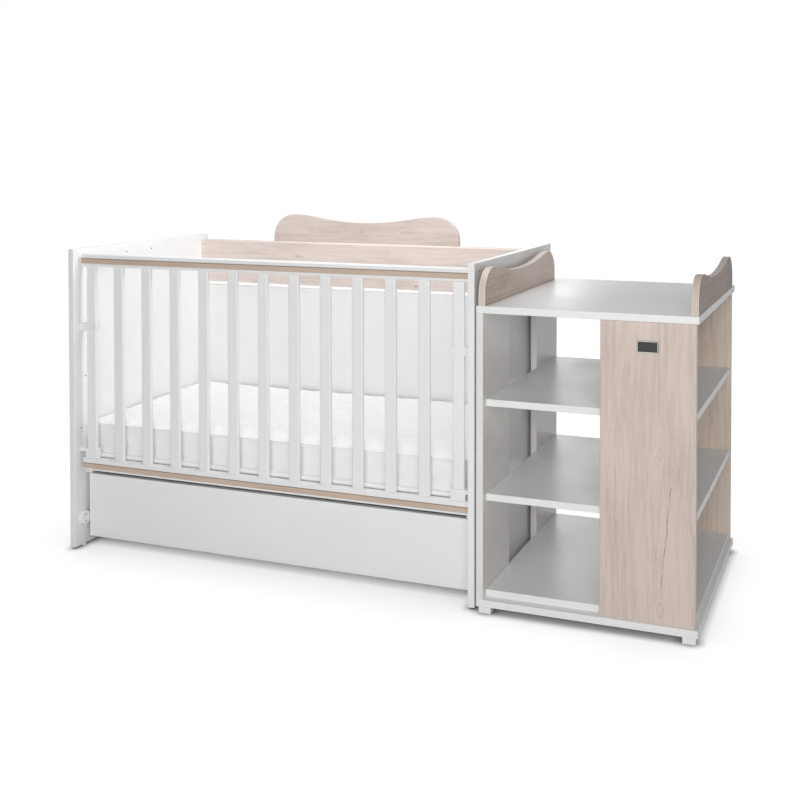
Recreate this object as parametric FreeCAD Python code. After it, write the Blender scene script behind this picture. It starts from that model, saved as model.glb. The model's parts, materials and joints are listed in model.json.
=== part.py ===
import FreeCAD, Part

import math
import os

from FreeCAD import Vector

# Convertible crib: a cot with a drop gate and a drawer, tied to an open changing-table cabinet.
# Millimetres. X runs along the length with the cabinet at +X, the front faces -Y, +Z is up.
# The origin lies on the floor, in the middle of the whole object.

# Boards and clearances
BOARD = 18.0
BACK_BOARD = 16.0
EDGE_ROUND = 1.2
DRILL_CLEAR = 0.1
SLIDE_CLEAR = 0.5
SOFT_CLEAR = 0.4
OVERRUN = 5.0
PARALLEL_SHARE = 0.99

# Crib frame
CRIB_LENGTH = 1256.0
CRIB_DEPTH = 705.0
PANEL_HEIGHT = 875.0
GLIDE_HEIGHT = 5.0
GLIDE_RADIUS = 8.0
GLIDE_INSET = 45.0
GLIDE_PIN_RADIUS = 1.5
GLIDE_PIN_LENGTH = 14.0

# Back of the crib: panel, rail and crest
CREST_SETBACK = 7.0
RAIL_HEIGHT = 144.0
RAIL_TOP_DROP = 15.5
RAIL_ROUND = 6.0
BACK_GAP = 11.5
BACK_RECESS = 2.0
BACK_BOTTOM = 27.0
CREST_LENGTH = 665.0
CREST_HUMP = 91.0
CREST_DIP = 67.0
CREST_SHOULDER = 76.0
CREST_LAP = 90.0
CREST_TURN_SHARE = 0.33
CREST_SCREW_COUNT = 4
CREST_SCREW_INSET = 60.0

# Fasteners
SCREW_RADIUS = 2.5
SCREW_LENGTH = 50.0
SCREW_HEAD_RADIUS = 4.5
SCREW_HEAD_HEIGHT = 3.0
SCREW_EDGE_INSET = 40.0
CREST_SCREW_LENGTH = 30.0
BACK_SCREW_COUNT = 4
CLEAT_SCREW_COUNT = 3
SMALL_SCREW_RADIUS = 1.6
SMALL_SCREW_LENGTH = 16.0
SMALL_SCREW_HEAD_RADIUS = 3.2
SMALL_SCREW_HEAD_HEIGHT = 1.8
SPARE_HOLE_RADIUS = 2.5
SPARE_HOLE_DEPTH = 11.0
SPARE_TOP_DROP = 26.0
SPARE_TOP_PLACES = (250.0, 377.0)
SPARE_LOW_PLACES = ((50.5, 502.0), (31.0, 352.0))
LOCK_HOLE_DROP = 22.0

# Mattress base and mattress
CLEAT_WIDTH = 22.0
CLEAT_HEIGHT = 17.0
BASE_RAIL_WIDTH = 44.0
BASE_RAIL_HEIGHT = 22.0
LATH_COUNT = 11
LATH_WIDTH = 62.0
LATH_HEIGHT = 8.0
MATTRESS_END_GAP = 10.0
MATTRESS_SIDE_GAP = 8.0
MATTRESS_EDGE_HEIGHT = 102.0
MATTRESS_CROWN = 11.0
MATTRESS_CORNER = 45.0
MATTRESS_PIPING = 5.0
MATTRESS_DRAW = 4.0
CROWN_INSET_SHARES = (0.0, 0.04, 0.12, 0.24, 0.38)
CROWN_RISE_SHARES = (0.0, 0.42, 0.72, 0.91, 1.0)

# Drop gate
GATE_SETBACK = 26.0
GATE_THICKNESS = 22.0
GATE_END_GAP = 6.0
GATE_BOTTOM = 229.0
GATE_TOP_DROP = 15.0
GATE_RAIL_HEIGHT = 36.5
GATE_RAIL_ROUND = 5.0
GATE_DROP = 123.5
STRIP_HEIGHT = 16.0
STRIP_DEPTH = 3.0
STRIP_PROUD = 0.4
TOP_STRIP_RISE = 8.5
BOTTOM_STRIP_RISE = 6.5
SLAT_COUNT = 13
SLAT_WIDTH = 33.0
SLAT_THICKNESS = 12.0
SLAT_ROUND = 4.5
SLAT_TENON = 10.0
SLAT_END_OFFSET = 37.0

# Gate guides and stops
GUIDE_WALL = 4.0
GUIDE_HEIGHT = 20.0
GUIDE_ROUND = 2.0
UPPER_GUIDE_RISE = 412.0
LOWER_GUIDE_HEIGHT = 29.0
LOWER_GUIDE_ARM = 11.0
STOP_RADIUS = 20.5
STOP_THICKNESS = 10.0
STOP_ROUND = 2.5
STOP_SCREW_OFFSET = 10.0

# Drawer
DRAWER_FRONT_GAP = 3.0
DRAWER_SIDE_GAP = 1.0
DRAWER_TOP_GAP = 1.5
DRAWER_FRONT_BOTTOM = 27.0
DRAWER_FRONT_HEIGHT = 186.0
DRAWER_REAR_GAP = 90.0
DRAWER_WALL = 12.0
DRAWER_WALL_HEIGHT = 61.0
DRAWER_WALL_BOTTOM = 40.0
DRAWER_BOTTOM_BOARD = 4.0
DRAWER_BOTTOM_RISE = 8.0
DRAWER_GROOVE = 5.0
DRAWER_SCREW_LENGTH = 34.0
DRAWER_DOWEL_RADIUS = 3.0
DRAWER_JOINT_SHARES = (0.45, 0.8)

# Drawer runners and rollers
RUNNER_SPACE = 15.0
RUNNER_SHEET = 1.5
TRACK_WIDTH = 12.0
TRACK_HEIGHT = 22.0
TRACK_BOTTOM = 36.0
TRACK_SETBACK = 8.0
TRACK_REAR_SETBACK = 17.0
ROLLER_RADIUS = 8.5
ROLLER_WIDTH = 8.0
ROLLER_GAP = 0.2
ROLLER_SIDE_GAP = 0.4
ROLLER_PIN_RADIUS = 2.5
ROLLER_PIN_CLEAR = 0.06
ROLLER_END_INSET = 16.0
PROFILE_SHEET = 1.2
PROFILE_FOOT = 11.0
RUNNER_SCREW_SHARES = (0.2, 0.5, 0.8)

# Changing-table cabinet
CABINET_GAP = 10.0
CABINET_LENGTH = 551.0
CABINET_DEPTH = 693.0
CABINET_PROUD = 15.0
FOOT_HEIGHT = 18.0
FOOT_SIZE = 32.0
FOOT_INSET = 5.0
BOTTOM_BAY = 226.0
MIDDLE_BAY = 222.0
TOP_BAY = 220.0
UPRIGHT_DEPTH = 217.0
PANEL_WIDTH = 230.0
PANEL_SIDE_SETBACK = 7.0
PANEL_FRONT_SETBACK = 8.0
SHELF_SIDE_SETBACK = 10.0
WAVE_FRONT_SETBACK = 9.0
WAVE_REAR_SETBACK = 34.0
WAVE_SIDE_SETBACK = 2.5
WAVE_HUMP = 91.0
WAVE_DIP = 67.5
WAVE_SHOULDER = 67.0
WAVE_TURN_SHARE = 0.2
WAVE_SCREW_SHARES = (0.2, 0.5, 0.8)
WAVE_SCREW_LENGTH = 45.0
BADGE_WIDTH = 52.0
BADGE_HEIGHT = 29.0
BADGE_THICKNESS = 2.0
BADGE_TOP_DROP = 46.0
DOWEL_RADIUS = 4.0
DOWEL_LENGTH = 30.0
DOWEL_SHALLOW = 11.0
DOWEL_SHARES = (0.22, 0.78)
CAM_SHARES = (0.5,)
CAM_RADIUS = 7.5
CAM_HEIGHT = 13.0
CAM_INSET = 24.0
CAM_BOLT_RADIUS = 3.0
CAM_BOLT_SEAT = 10.0
LINK_BOLT_RADIUS = 3.0
LINK_HEAD_RADIUS = 7.0
LINK_HEAD_HEIGHT = 4.0
LINK_BITE = 12.0
LINK_SPACER_RADIUS = 9.0
LINK_HEIGHT_SHARES = (0.2, 0.85)

# Places that follow from the sizes
LENGTH = CRIB_LENGTH + CABINET_GAP + CABINET_LENGTH
DEPTH = CRIB_DEPTH + CABINET_PROUD
X_LEFT = -LENGTH / 2
X_IN_LEFT = X_LEFT + BOARD
X_RIGHT = X_LEFT + CRIB_LENGTH
X_IN_RIGHT = X_RIGHT - BOARD
Y_FRONT = -DEPTH / 2 + CABINET_PROUD
Y_REAR = Y_FRONT + CRIB_DEPTH
Z_PANEL_TOP = GLIDE_HEIGHT + PANEL_HEIGHT
Y_CREST = Y_REAR - CREST_SETBACK - BOARD
Y_RAIL = Y_CREST - BOARD
Y_BACK = Y_RAIL + BACK_RECESS
Z_RAIL_TOP = Z_PANEL_TOP - RAIL_TOP_DROP
Z_RAIL = Z_RAIL_TOP - RAIL_HEIGHT
Z_BACK_TOP = Z_RAIL - BACK_GAP
Y_GATE = Y_FRONT + GATE_SETBACK
Y_GATE_BACK = Y_GATE + GATE_THICKNESS
Y_SLAT = Y_GATE + (GATE_THICKNESS - SLAT_THICKNESS) / 2
X_GATE = X_IN_LEFT + GATE_END_GAP
X_GATE_END = X_IN_RIGHT - GATE_END_GAP
Z_GATE_TOP = Z_PANEL_TOP - GATE_TOP_DROP
Z_SLAT = GATE_BOTTOM + GATE_RAIL_HEIGHT
Z_SLAT_TOP = Z_GATE_TOP - GATE_RAIL_HEIGHT
Y_DRAWER = Y_GATE_BACK + DRAWER_FRONT_GAP
X_DRAWER = X_IN_LEFT + STOP_THICKNESS + DRAWER_SIDE_GAP
X_DRAWER_END = X_IN_RIGHT - STOP_THICKNESS - DRAWER_SIDE_GAP
Z_DRAWER_TOP = DRAWER_FRONT_BOTTOM + DRAWER_FRONT_HEIGHT
X_BOX = X_IN_LEFT + RUNNER_SPACE
X_BOX_END = X_IN_RIGHT - RUNNER_SPACE
Y_BOX = Y_DRAWER + BOARD
Y_BOX_END = Y_BACK - DRAWER_REAR_GAP
Z_BOX_TOP = DRAWER_WALL_BOTTOM + DRAWER_WALL_HEIGHT
Z_DRAWER_FLOOR = DRAWER_WALL_BOTTOM + DRAWER_BOTTOM_RISE
Z_CLEAT = Z_DRAWER_TOP + DRAWER_TOP_GAP
Z_BASE_RAIL = Z_CLEAT + CLEAT_HEIGHT
Z_LATH = Z_BASE_RAIL + BASE_RAIL_HEIGHT
Z_MATTRESS = Z_LATH + LATH_HEIGHT + SOFT_CLEAR
MATTRESS_LENGTH = X_IN_RIGHT - X_IN_LEFT - MATTRESS_END_GAP * 2
MATTRESS_WIDTH = Y_BACK - Y_GATE_BACK - MATTRESS_SIDE_GAP * 2
Y_BASE = Y_GATE_BACK + DRAWER_FRONT_GAP
Z_STOP = GATE_BOTTOM - GATE_DROP - SLIDE_CLEAR - STOP_RADIUS
Y_STOP = Y_GATE + GATE_THICKNESS / 2
Z_LOWER_GUIDE = Z_SLAT + SLIDE_CLEAR
Z_UPPER_GUIDE = GATE_BOTTOM + UPPER_GUIDE_RISE
Y_TRACK = Y_BOX + TRACK_SETBACK
Y_TRACK_END = Y_BOX_END - TRACK_REAR_SETBACK
Z_ROLLER = TRACK_BOTTOM + RUNNER_SHEET + ROLLER_GAP + ROLLER_RADIUS
Z_PROFILE = Z_ROLLER + ROLLER_RADIUS + ROLLER_GAP
X_CABINET = X_RIGHT + CABINET_GAP
X_CABINET_END = X_CABINET + CABINET_LENGTH
X_SHELF = X_CABINET + BOARD
X_SHELF_END = X_CABINET_END - SHELF_SIDE_SETBACK
X_PANEL_END = X_CABINET_END - PANEL_SIDE_SETBACK
X_PANEL = X_PANEL_END - PANEL_WIDTH
Y_CABINET = Y_FRONT - CABINET_PROUD
Y_CABINET_END = Y_CABINET + CABINET_DEPTH
Y_PANEL = Y_CABINET + PANEL_FRONT_SETBACK
Y_SHELF = Y_PANEL + BOARD
Y_SHELF_END = Y_CABINET_END - BOARD
WAVE_LENGTH = CABINET_DEPTH - WAVE_FRONT_SETBACK - WAVE_REAR_SETBACK
Z_CABINET = FOOT_HEIGHT + BOARD
Z_LOWER_SHELF = Z_CABINET + BOARD + BOTTOM_BAY
Z_UPPER_SHELF = Z_LOWER_SHELF + BOARD + MIDDLE_BAY
Z_TOP = Z_UPPER_SHELF + BOARD + TOP_BAY
Z_TABLE = Z_TOP + BOARD
SHELF_BOTTOMS = (Z_CABINET, Z_LOWER_SHELF, Z_UPPER_SHELF)
X_AXIS = Vector(1, 0, 0)
Y_AXIS = Vector(0, 1, 0)
Z_AXIS = Vector(0, 0, 1)


def block(x0, x1, y0, y1, z0, z1):
    """A box between two corners."""
    return Part.makeBox(x1 - x0, y1 - y0, z1 - z0, Vector(x0, y0, z0))


def board(x0, x1, y0, y1, z0, z1, rounding=EDGE_ROUND):
    """A board with all its edges eased."""
    solid = block(x0, x1, y0, y1, z0, z1)
    return solid.makeFillet(rounding, solid.Edges)


def rod(radius, length, start, axis):
    """A round bar from a point along an axis."""
    return Part.makeCylinder(radius, length, start, axis)


def round_along(solid, axis, rounding):
    """Rounds the straight edges of a box that run along an axis."""
    edges = [e for e in solid.Edges if abs(e.tangentAt(e.FirstParameter).dot(axis)) > PARALLEL_SHARE]
    return solid.makeFillet(rounding, edges)


def spread(low, high, count):
    """Evenly spaced places from low to high, both ends included."""
    return [low + (high - low) * i / (count - 1) for i in range(count)]


def at_shares(low, high, shares):
    """Places at the given shares of the way from low to high."""
    return [low + (high - low) * share for share in shares]


def screw(point, axis, radius, length, head_radius, head_height, clearance=0):
    """A countersunk screw whose head is flush at the point and whose tip lies along the axis."""
    head = Part.makeCone(head_radius + clearance, radius + clearance, head_height, point, axis)
    return head.fuse(rod(radius + clearance, length + clearance, point, axis)).removeSplitter()


def frame_screw(point, axis, clearance=0, length=SCREW_LENGTH):
    """A screw of the kind that holds the boards together."""
    return screw(point, axis, SCREW_RADIUS, length, SCREW_HEAD_RADIUS, SCREW_HEAD_HEIGHT, clearance)


def small_screw(point, axis, clearance=0):
    """A screw of the kind that holds guides, stops and runners."""
    return screw(
        point, axis, SMALL_SCREW_RADIUS, SMALL_SCREW_LENGTH,
        SMALL_SCREW_HEAD_RADIUS, SMALL_SCREW_HEAD_HEIGHT, clearance,
    )


def drill(solid, cutters):
    """The solid with every cutter that reaches it taken away."""
    reaching = [c for c in cutters if c.BoundBox.intersect(solid.BoundBox)]
    return solid.cut(reaching) if reaching else solid


def wave_face(length, foot, shoulder, hump, dip, turn_share, place):
    """A face with a hump at each end and a dip between; place turns (along, up) into a point.

    Each hump falls to the dip through two tangent arcs that meet at turn_share of the way.
    """
    middle = length / 2
    turn_x = shoulder + (middle - shoulder) * turn_share
    turn_z = hump + (dip - hump) * turn_share
    half_angle = math.atan2(hump - dip, middle - shoulder)
    crest_radius = (turn_x - shoulder) / math.sin(2 * half_angle)
    valley_radius = (middle - turn_x) / math.sin(2 * half_angle)
    sink = 1 - math.cos(half_angle)
    corner = math.sin(math.pi / 4)
    outline = [
        (0, hump - shoulder),
        (shoulder - shoulder * corner, hump - shoulder + shoulder * corner),
        (shoulder, hump),
        (shoulder + crest_radius * math.sin(half_angle), hump - crest_radius * sink),
        (turn_x, turn_z),
        (middle - valley_radius * math.sin(half_angle), dip + valley_radius * sink),
        (middle, dip),
    ]
    left = [place(u, v) for u, v in outline]
    right = [place(length - u, v) for u, v in outline]
    edges = [Part.LineSegment(place(0, -foot), left[0]).toShape()]
    for i in range(0, len(left) - 1, 2):
        edges.append(Part.Arc(left[i], left[i + 1], left[i + 2]).toShape())
    for i in range(len(right) - 1, 0, -2):
        edges.append(Part.Arc(right[i], right[i - 1], right[i - 2]).toShape())
    edges.append(Part.LineSegment(right[0], place(length, -foot)).toShape())
    edges.append(Part.LineSegment(place(length, -foot), place(0, -foot)).toShape())
    return Part.Face(Part.Wire(edges))


def wave_board(face, direction):
    """A board cut to a wave outline, with its outline edges eased."""
    solid = face.extrude(direction)
    limit = direction.Length / 2
    edges = [e for e in solid.Edges if abs(e.tangentAt(e.FirstParameter).dot(direction)) < limit]
    return solid.makeFillet(EDGE_ROUND, edges)


def pillow_ring(inset, z):
    """One level of the mattress: sides drawn in between rounded corners."""
    x1 = MATTRESS_LENGTH / 2 - inset
    y1 = MATTRESS_WIDTH / 2 - inset
    r = MATTRESS_CORNER
    cx = X_LEFT + CRIB_LENGTH / 2
    cy = (Y_GATE_BACK + Y_BACK) / 2
    bend = r * math.sin(math.pi / 4)

    def point(x, y):
        return Vector(cx + x, cy + y, z)

    sides = [
        ((-x1 + r, -y1), (0, -y1 + MATTRESS_DRAW), (x1 - r, -y1)),
        ((x1 - r, -y1), (x1 - r + bend, -y1 + r - bend), (x1, -y1 + r)),
        ((x1, -y1 + r), (x1 - MATTRESS_DRAW, 0), (x1, y1 - r)),
        ((x1, y1 - r), (x1 - r + bend, y1 - r + bend), (x1 - r, y1)),
        ((x1 - r, y1), (0, y1 - MATTRESS_DRAW), (-x1 + r, y1)),
        ((-x1 + r, y1), (-x1 + r - bend, y1 - r + bend), (-x1, y1 - r)),
        ((-x1, y1 - r), (-x1 + MATTRESS_DRAW, 0), (-x1, -y1 + r)),
        ((-x1, -y1 + r), (-x1 + r - bend, -y1 + r - bend), (-x1 + r, -y1)),
    ]
    return Part.Wire([Part.Arc(*[point(*p) for p in side]).toShape() for side in sides])


def mattress():
    """Crowned pad with a band between two piped edges, drawn in all round."""
    top = Z_MATTRESS + MATTRESS_EDGE_HEIGHT
    band = MATTRESS_PIPING + MATTRESS_DRAW
    levels = [
        (MATTRESS_PIPING, Z_MATTRESS),
        (0, Z_MATTRESS + MATTRESS_PIPING),
        (MATTRESS_DRAW, Z_MATTRESS + band),
        (MATTRESS_DRAW, top - band),
        (0, top - MATTRESS_PIPING),
    ]
    half_width = MATTRESS_WIDTH / 2 - MATTRESS_PIPING
    for inset_share, rise_share in zip(CROWN_INSET_SHARES, CROWN_RISE_SHARES):
        levels.append((MATTRESS_PIPING + half_width * inset_share, top + MATTRESS_CROWN * rise_share))
    return Part.makeLoft([pillow_ring(inset, z) for inset, z in levels], True, True)


def crib_screws(clearance=0):
    """Screws driven through the end panels into the back panel, the rail and the cleats."""
    y_back = Y_BACK + BACK_BOARD / 2
    z_backs = spread(BACK_BOTTOM + SCREW_EDGE_INSET, Z_BACK_TOP - SCREW_EDGE_INSET, BACK_SCREW_COUNT)
    places = [(y_back, z) for z in z_backs]
    places.append((Y_RAIL + BOARD / 2, Z_RAIL + SCREW_EDGE_INSET))
    y_cleats = spread(Y_BASE + SCREW_EDGE_INSET, Y_BACK - SCREW_EDGE_INSET, CLEAT_SCREW_COUNT)
    z_cleat = Z_CLEAT + CLEAT_HEIGHT / 2
    cleat_length = BOARD + CLEAT_WIDTH / 2
    out = []
    for x, axis in ((X_LEFT, X_AXIS), (X_RIGHT, -X_AXIS)):
        out += [frame_screw(Vector(x, y, z), axis, clearance) for y, z in places]
        out += [frame_screw(Vector(x, y, z_cleat), axis, clearance, cleat_length) for y in y_cleats]
    return out


def rail_dowels(clearance=0):
    """A dowel in each end of the back rail, above its screw, blind in the end panel."""
    length = DOWEL_LENGTH + clearance * 2
    shallow = DOWEL_SHALLOW + clearance
    y = Y_RAIL + BOARD / 2
    z = Z_RAIL_TOP - SCREW_EDGE_INSET
    ends = ((X_IN_LEFT - shallow, X_AXIS), (X_IN_RIGHT + shallow, -X_AXIS))
    return [rod(DOWEL_RADIUS + clearance, length, Vector(x, y, z), axis) for x, axis in ends]


def crest_screws(clearance=0):
    """Screws from behind through the crest's lap into the rail."""
    x_mid = X_LEFT + CRIB_LENGTH / 2
    reach = CREST_LENGTH / 2 - CREST_SCREW_INSET
    places = spread(x_mid - reach, x_mid + reach, CREST_SCREW_COUNT)
    z = Z_RAIL_TOP - CREST_LAP / 2
    y = Y_CREST + BOARD
    return [frame_screw(Vector(x, y, z), -Y_AXIS, clearance, CREST_SCREW_LENGTH) for x in places]


def guide_screw_places():
    """Points and axes of the screws that hold the four gate guides."""
    y = Y_SLAT + SLAT_THICKNESS / 2
    z_low = Z_LOWER_GUIDE + LOWER_GUIDE_HEIGHT - LOWER_GUIDE_ARM / 2
    z_up = Z_UPPER_GUIDE + GUIDE_HEIGHT / 2
    places = []
    for x, axis in ((X_IN_LEFT + GUIDE_WALL, -X_AXIS), (X_IN_RIGHT - GUIDE_WALL, X_AXIS)):
        places += [(Vector(x, y, z), axis) for z in (z_low, z_up)]
    return places


def stop_screw_places():
    """Points and axes of the two screws in each gate stop."""
    places = []
    for x, axis in ((X_IN_LEFT + STOP_THICKNESS, -X_AXIS), (X_IN_RIGHT - STOP_THICKNESS, X_AXIS)):
        places += [(Vector(x, Y_STOP, Z_STOP + dz), axis) for dz in (-STOP_SCREW_OFFSET, STOP_SCREW_OFFSET)]
    return places


def runner_screw_places():
    """Points and axes of the screws that hold the runner tracks."""
    z = TRACK_BOTTOM + TRACK_HEIGHT / 2
    ys = at_shares(Y_TRACK, Y_TRACK_END, RUNNER_SCREW_SHARES)
    places = []
    for x, axis in ((X_IN_LEFT + RUNNER_SHEET, -X_AXIS), (X_IN_RIGHT - RUNNER_SHEET, X_AXIS)):
        places += [(Vector(x, y, z), axis) for y in ys]
    return places


def panel_screws(clearance=0):
    """All the small screws that enter the end panels."""
    places = guide_screw_places() + stop_screw_places() + runner_screw_places()
    return [small_screw(point, axis, clearance) for point, axis in places]


def link_places():
    """Heights and depths of the bolts that tie the cabinet to the crib."""
    ys = (Y_CABINET + UPRIGHT_DEPTH / 2, Y_CABINET_END - UPRIGHT_DEPTH / 2)
    return [(y, z) for y in ys for z in at_shares(Z_CABINET, Z_TOP, LINK_HEIGHT_SHARES)]


def link_bolts(clearance=0):
    """Flat-headed bolts from inside the crib into the cabinet's uprights."""
    length = BOARD + CABINET_GAP + LINK_BITE
    return [
        screw(
            Vector(X_IN_RIGHT, y, z), X_AXIS, LINK_BOLT_RADIUS, length,
            LINK_HEAD_RADIUS, LINK_HEAD_HEIGHT, clearance,
        )
        for y, z in link_places()
    ]


def link_spacers():
    """Sleeves that keep the gap between the crib and the cabinet."""
    out = []
    for y, z in link_places():
        ring = rod(LINK_SPACER_RADIUS, CABINET_GAP, Vector(X_RIGHT, y, z), X_AXIS)
        out.append(ring.cut(rod(LINK_BOLT_RADIUS + DRILL_CLEAR, CABINET_GAP, Vector(X_RIGHT, y, z), X_AXIS)))
    return out


def glides(clearance=0):
    """Nail-on glides, two under each end panel."""
    out = []
    for x in (X_LEFT + BOARD / 2, X_RIGHT - BOARD / 2):
        for y in (Y_FRONT + GLIDE_INSET, Y_REAR - GLIDE_INSET):
            pin_length = GLIDE_HEIGHT + GLIDE_PIN_LENGTH + clearance
            pin = rod(GLIDE_PIN_RADIUS + clearance, pin_length, Vector(x, y, 0), Z_AXIS)
            out.append(pin.fuse(rod(GLIDE_RADIUS, GLIDE_HEIGHT, Vector(x, y, 0), Z_AXIS)).removeSplitter())
    return out


def spare_holes(x_inner, x_outer, inward):
    """Blind fixing holes in an end panel: four on its inner face and one near the gate's top, outside."""
    z_top = Z_PANEL_TOP - SPARE_TOP_DROP
    inner = [(y, z_top) for y in SPARE_TOP_PLACES] + list(SPARE_LOW_PLACES)
    holes = [
        rod(SPARE_HOLE_RADIUS, SPARE_HOLE_DEPTH, Vector(x_inner, Y_FRONT + y, z), inward * -1)
        for y, z in inner
    ]
    lock = Vector(x_outer, Y_STOP, Z_PANEL_TOP - LOCK_HOLE_DROP)
    return holes + [rod(SPARE_HOLE_RADIUS, SPARE_HOLE_DEPTH, lock, inward)]


def end_panels():
    """The two end panels with all their holes."""
    cutters = crib_screws(DRILL_CLEAR) + panel_screws(DRILL_CLEAR)
    cutters += link_bolts(DRILL_CLEAR) + glides(DRILL_CLEAR) + rail_dowels(DRILL_CLEAR)
    out = {}
    for name, x0, x_inner, x_outer, inward in (
        ("left_end_panel", X_LEFT, X_IN_LEFT, X_LEFT, X_AXIS),
        ("right_end_panel", X_IN_RIGHT, X_IN_RIGHT, X_RIGHT, -X_AXIS),
    ):
        solid = board(x0, x0 + BOARD, Y_FRONT, Y_REAR, GLIDE_HEIGHT, Z_PANEL_TOP)
        out[name] = drill(solid, cutters + spare_holes(x_inner, x_outer, inward))
    return out


def crib_back():
    """Back panel, back rail with a rounded top, and the crest behind it."""
    cutters = crib_screws(DRILL_CLEAR) + crest_screws(DRILL_CLEAR) + rail_dowels(DRILL_CLEAR)
    panel = board(X_IN_LEFT, X_IN_RIGHT, Y_BACK, Y_BACK + BACK_BOARD, BACK_BOTTOM, Z_BACK_TOP)
    rail = block(X_IN_LEFT, X_IN_RIGHT, Y_RAIL, Y_RAIL + BOARD, Z_RAIL, Z_RAIL_TOP)
    long_edges = [e for e in rail.Edges if e.Length > CRIB_LENGTH / 2]
    rail = rail.makeFillet(RAIL_ROUND, [e for e in long_edges if e.CenterOfMass.z > Z_RAIL + RAIL_HEIGHT / 2])
    x0 = X_LEFT + (CRIB_LENGTH - CREST_LENGTH) / 2

    def place(u, v):
        return Vector(x0 + u, Y_CREST, Z_RAIL_TOP + v)

    face = wave_face(CREST_LENGTH, CREST_LAP, CREST_SHOULDER, CREST_HUMP, CREST_DIP, CREST_TURN_SHARE, place)
    crest = wave_board(face, Vector(0, BOARD, 0))
    return {
        "back_panel": drill(panel, cutters),
        "back_top_rail": drill(rail, cutters),
        "headboard_crest": drill(crest, cutters),
    }


def mattress_base():
    """Cleats on the end panels, two long rails and the laths across them."""
    cutters = crib_screws(DRILL_CLEAR)
    y_end = Y_BACK - SOFT_CLEAR
    out = {}
    for name, x0 in (("left_base_cleat", X_IN_LEFT), ("right_base_cleat", X_IN_RIGHT - CLEAT_WIDTH)):
        cleat = board(x0, x0 + CLEAT_WIDTH, Y_BASE, y_end, Z_CLEAT, Z_BASE_RAIL)
        out[name] = drill(cleat, cutters)
    x0 = X_IN_LEFT + SLIDE_CLEAR
    x1 = X_IN_RIGHT - SLIDE_CLEAR
    out["base_front_rail"] = board(x0, x1, Y_BASE, Y_BASE + BASE_RAIL_WIDTH, Z_BASE_RAIL, Z_LATH)
    out["base_rear_rail"] = board(x0, x1, y_end - BASE_RAIL_WIDTH, y_end, Z_BASE_RAIL, Z_LATH)
    laths = []
    for x in spread(x0, x1 - LATH_WIDTH, LATH_COUNT):
        laths.append(board(x, x + LATH_WIDTH, Y_BASE, y_end, Z_LATH, Z_LATH + LATH_HEIGHT))
    out["base_laths"] = laths
    return out


def slats(clearance=0):
    """The gate's slats, with tenons that enter both rails."""
    first = X_IN_LEFT + SLAT_END_OFFSET
    last = X_IN_RIGHT - SLAT_END_OFFSET
    half = SLAT_WIDTH / 2 + clearance
    out = []
    for x in spread(first, last, SLAT_COUNT):
        bar = block(
            x - half, x + half, Y_SLAT - clearance, Y_SLAT + SLAT_THICKNESS + clearance,
            Z_SLAT - SLAT_TENON - clearance, Z_SLAT_TOP + SLAT_TENON + clearance,
        )
        out.append(round_along(bar, Z_AXIS, SLAT_ROUND))
    return out


def gate():
    """Rails with mortises and a strip groove each, the strips and the slats."""
    mortises = slats(DRILL_CLEAR)
    out = {"gate_slats": slats()}
    for rail_name, strip_name, z0, rise in (
        ("gate_top_rail", "gate_top_strip", Z_SLAT_TOP, TOP_STRIP_RISE),
        ("gate_bottom_rail", "gate_bottom_strip", GATE_BOTTOM, BOTTOM_STRIP_RISE),
    ):
        rail = block(X_GATE, X_GATE_END, Y_GATE, Y_GATE_BACK, z0, z0 + GATE_RAIL_HEIGHT)
        rail = rail.makeFillet(GATE_RAIL_ROUND, rail.Edges)
        z_strip = z0 + rise
        groove = block(
            X_GATE, X_GATE_END, Y_GATE - OVERRUN, Y_GATE + STRIP_DEPTH,
            z_strip - DRILL_CLEAR, z_strip + STRIP_HEIGHT + DRILL_CLEAR,
        )
        out[rail_name] = drill(rail.cut(groove), mortises)
        out[strip_name] = board(
            X_GATE + GATE_RAIL_ROUND / 2, X_GATE_END - GATE_RAIL_ROUND / 2,
            Y_GATE - STRIP_PROUD, Y_GATE + STRIP_DEPTH, z_strip, z_strip + STRIP_HEIGHT, STRIP_PROUD,
        )
    return out


def guide(z0, height, arm):
    """A left-hand gate guide: an arm from the panel to a collar that holds the first slat's edges."""
    half = SLAT_WIDTH / 2 + SLIDE_CLEAR
    x_slat = X_IN_LEFT + SLAT_END_OFFSET
    y0 = Y_SLAT - SLIDE_CLEAR
    y1 = Y_SLAT + SLAT_THICKNESS + SLIDE_CLEAR
    z1 = z0 + height
    collar = block(
        x_slat - half - GUIDE_WALL, x_slat + half + GUIDE_WALL, y0 - GUIDE_WALL, y1 + GUIDE_WALL, z0, z1,
    )
    collar = round_along(collar, Z_AXIS, GUIDE_ROUND)
    reach = block(X_IN_LEFT, x_slat - half, y0 - GUIDE_WALL, y1 + GUIDE_WALL, z1 - arm, z1)
    hollow = block(X_IN_LEFT + GUIDE_WALL, x_slat - half - GUIDE_WALL, y0, y1, z1 - arm, z1)
    passage = round_along(
        block(x_slat - half, x_slat + half, y0, y1, z0 - OVERRUN, z1 + OVERRUN), Z_AXIS, SLAT_ROUND,
    )
    return collar.fuse(reach.cut(hollow)).removeSplitter().cut(passage)


def mirrored(solid):
    """The solid mirrored about the crib's middle plane."""
    return solid.mirror(Vector(X_LEFT + CRIB_LENGTH / 2, 0, 0), X_AXIS)


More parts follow.
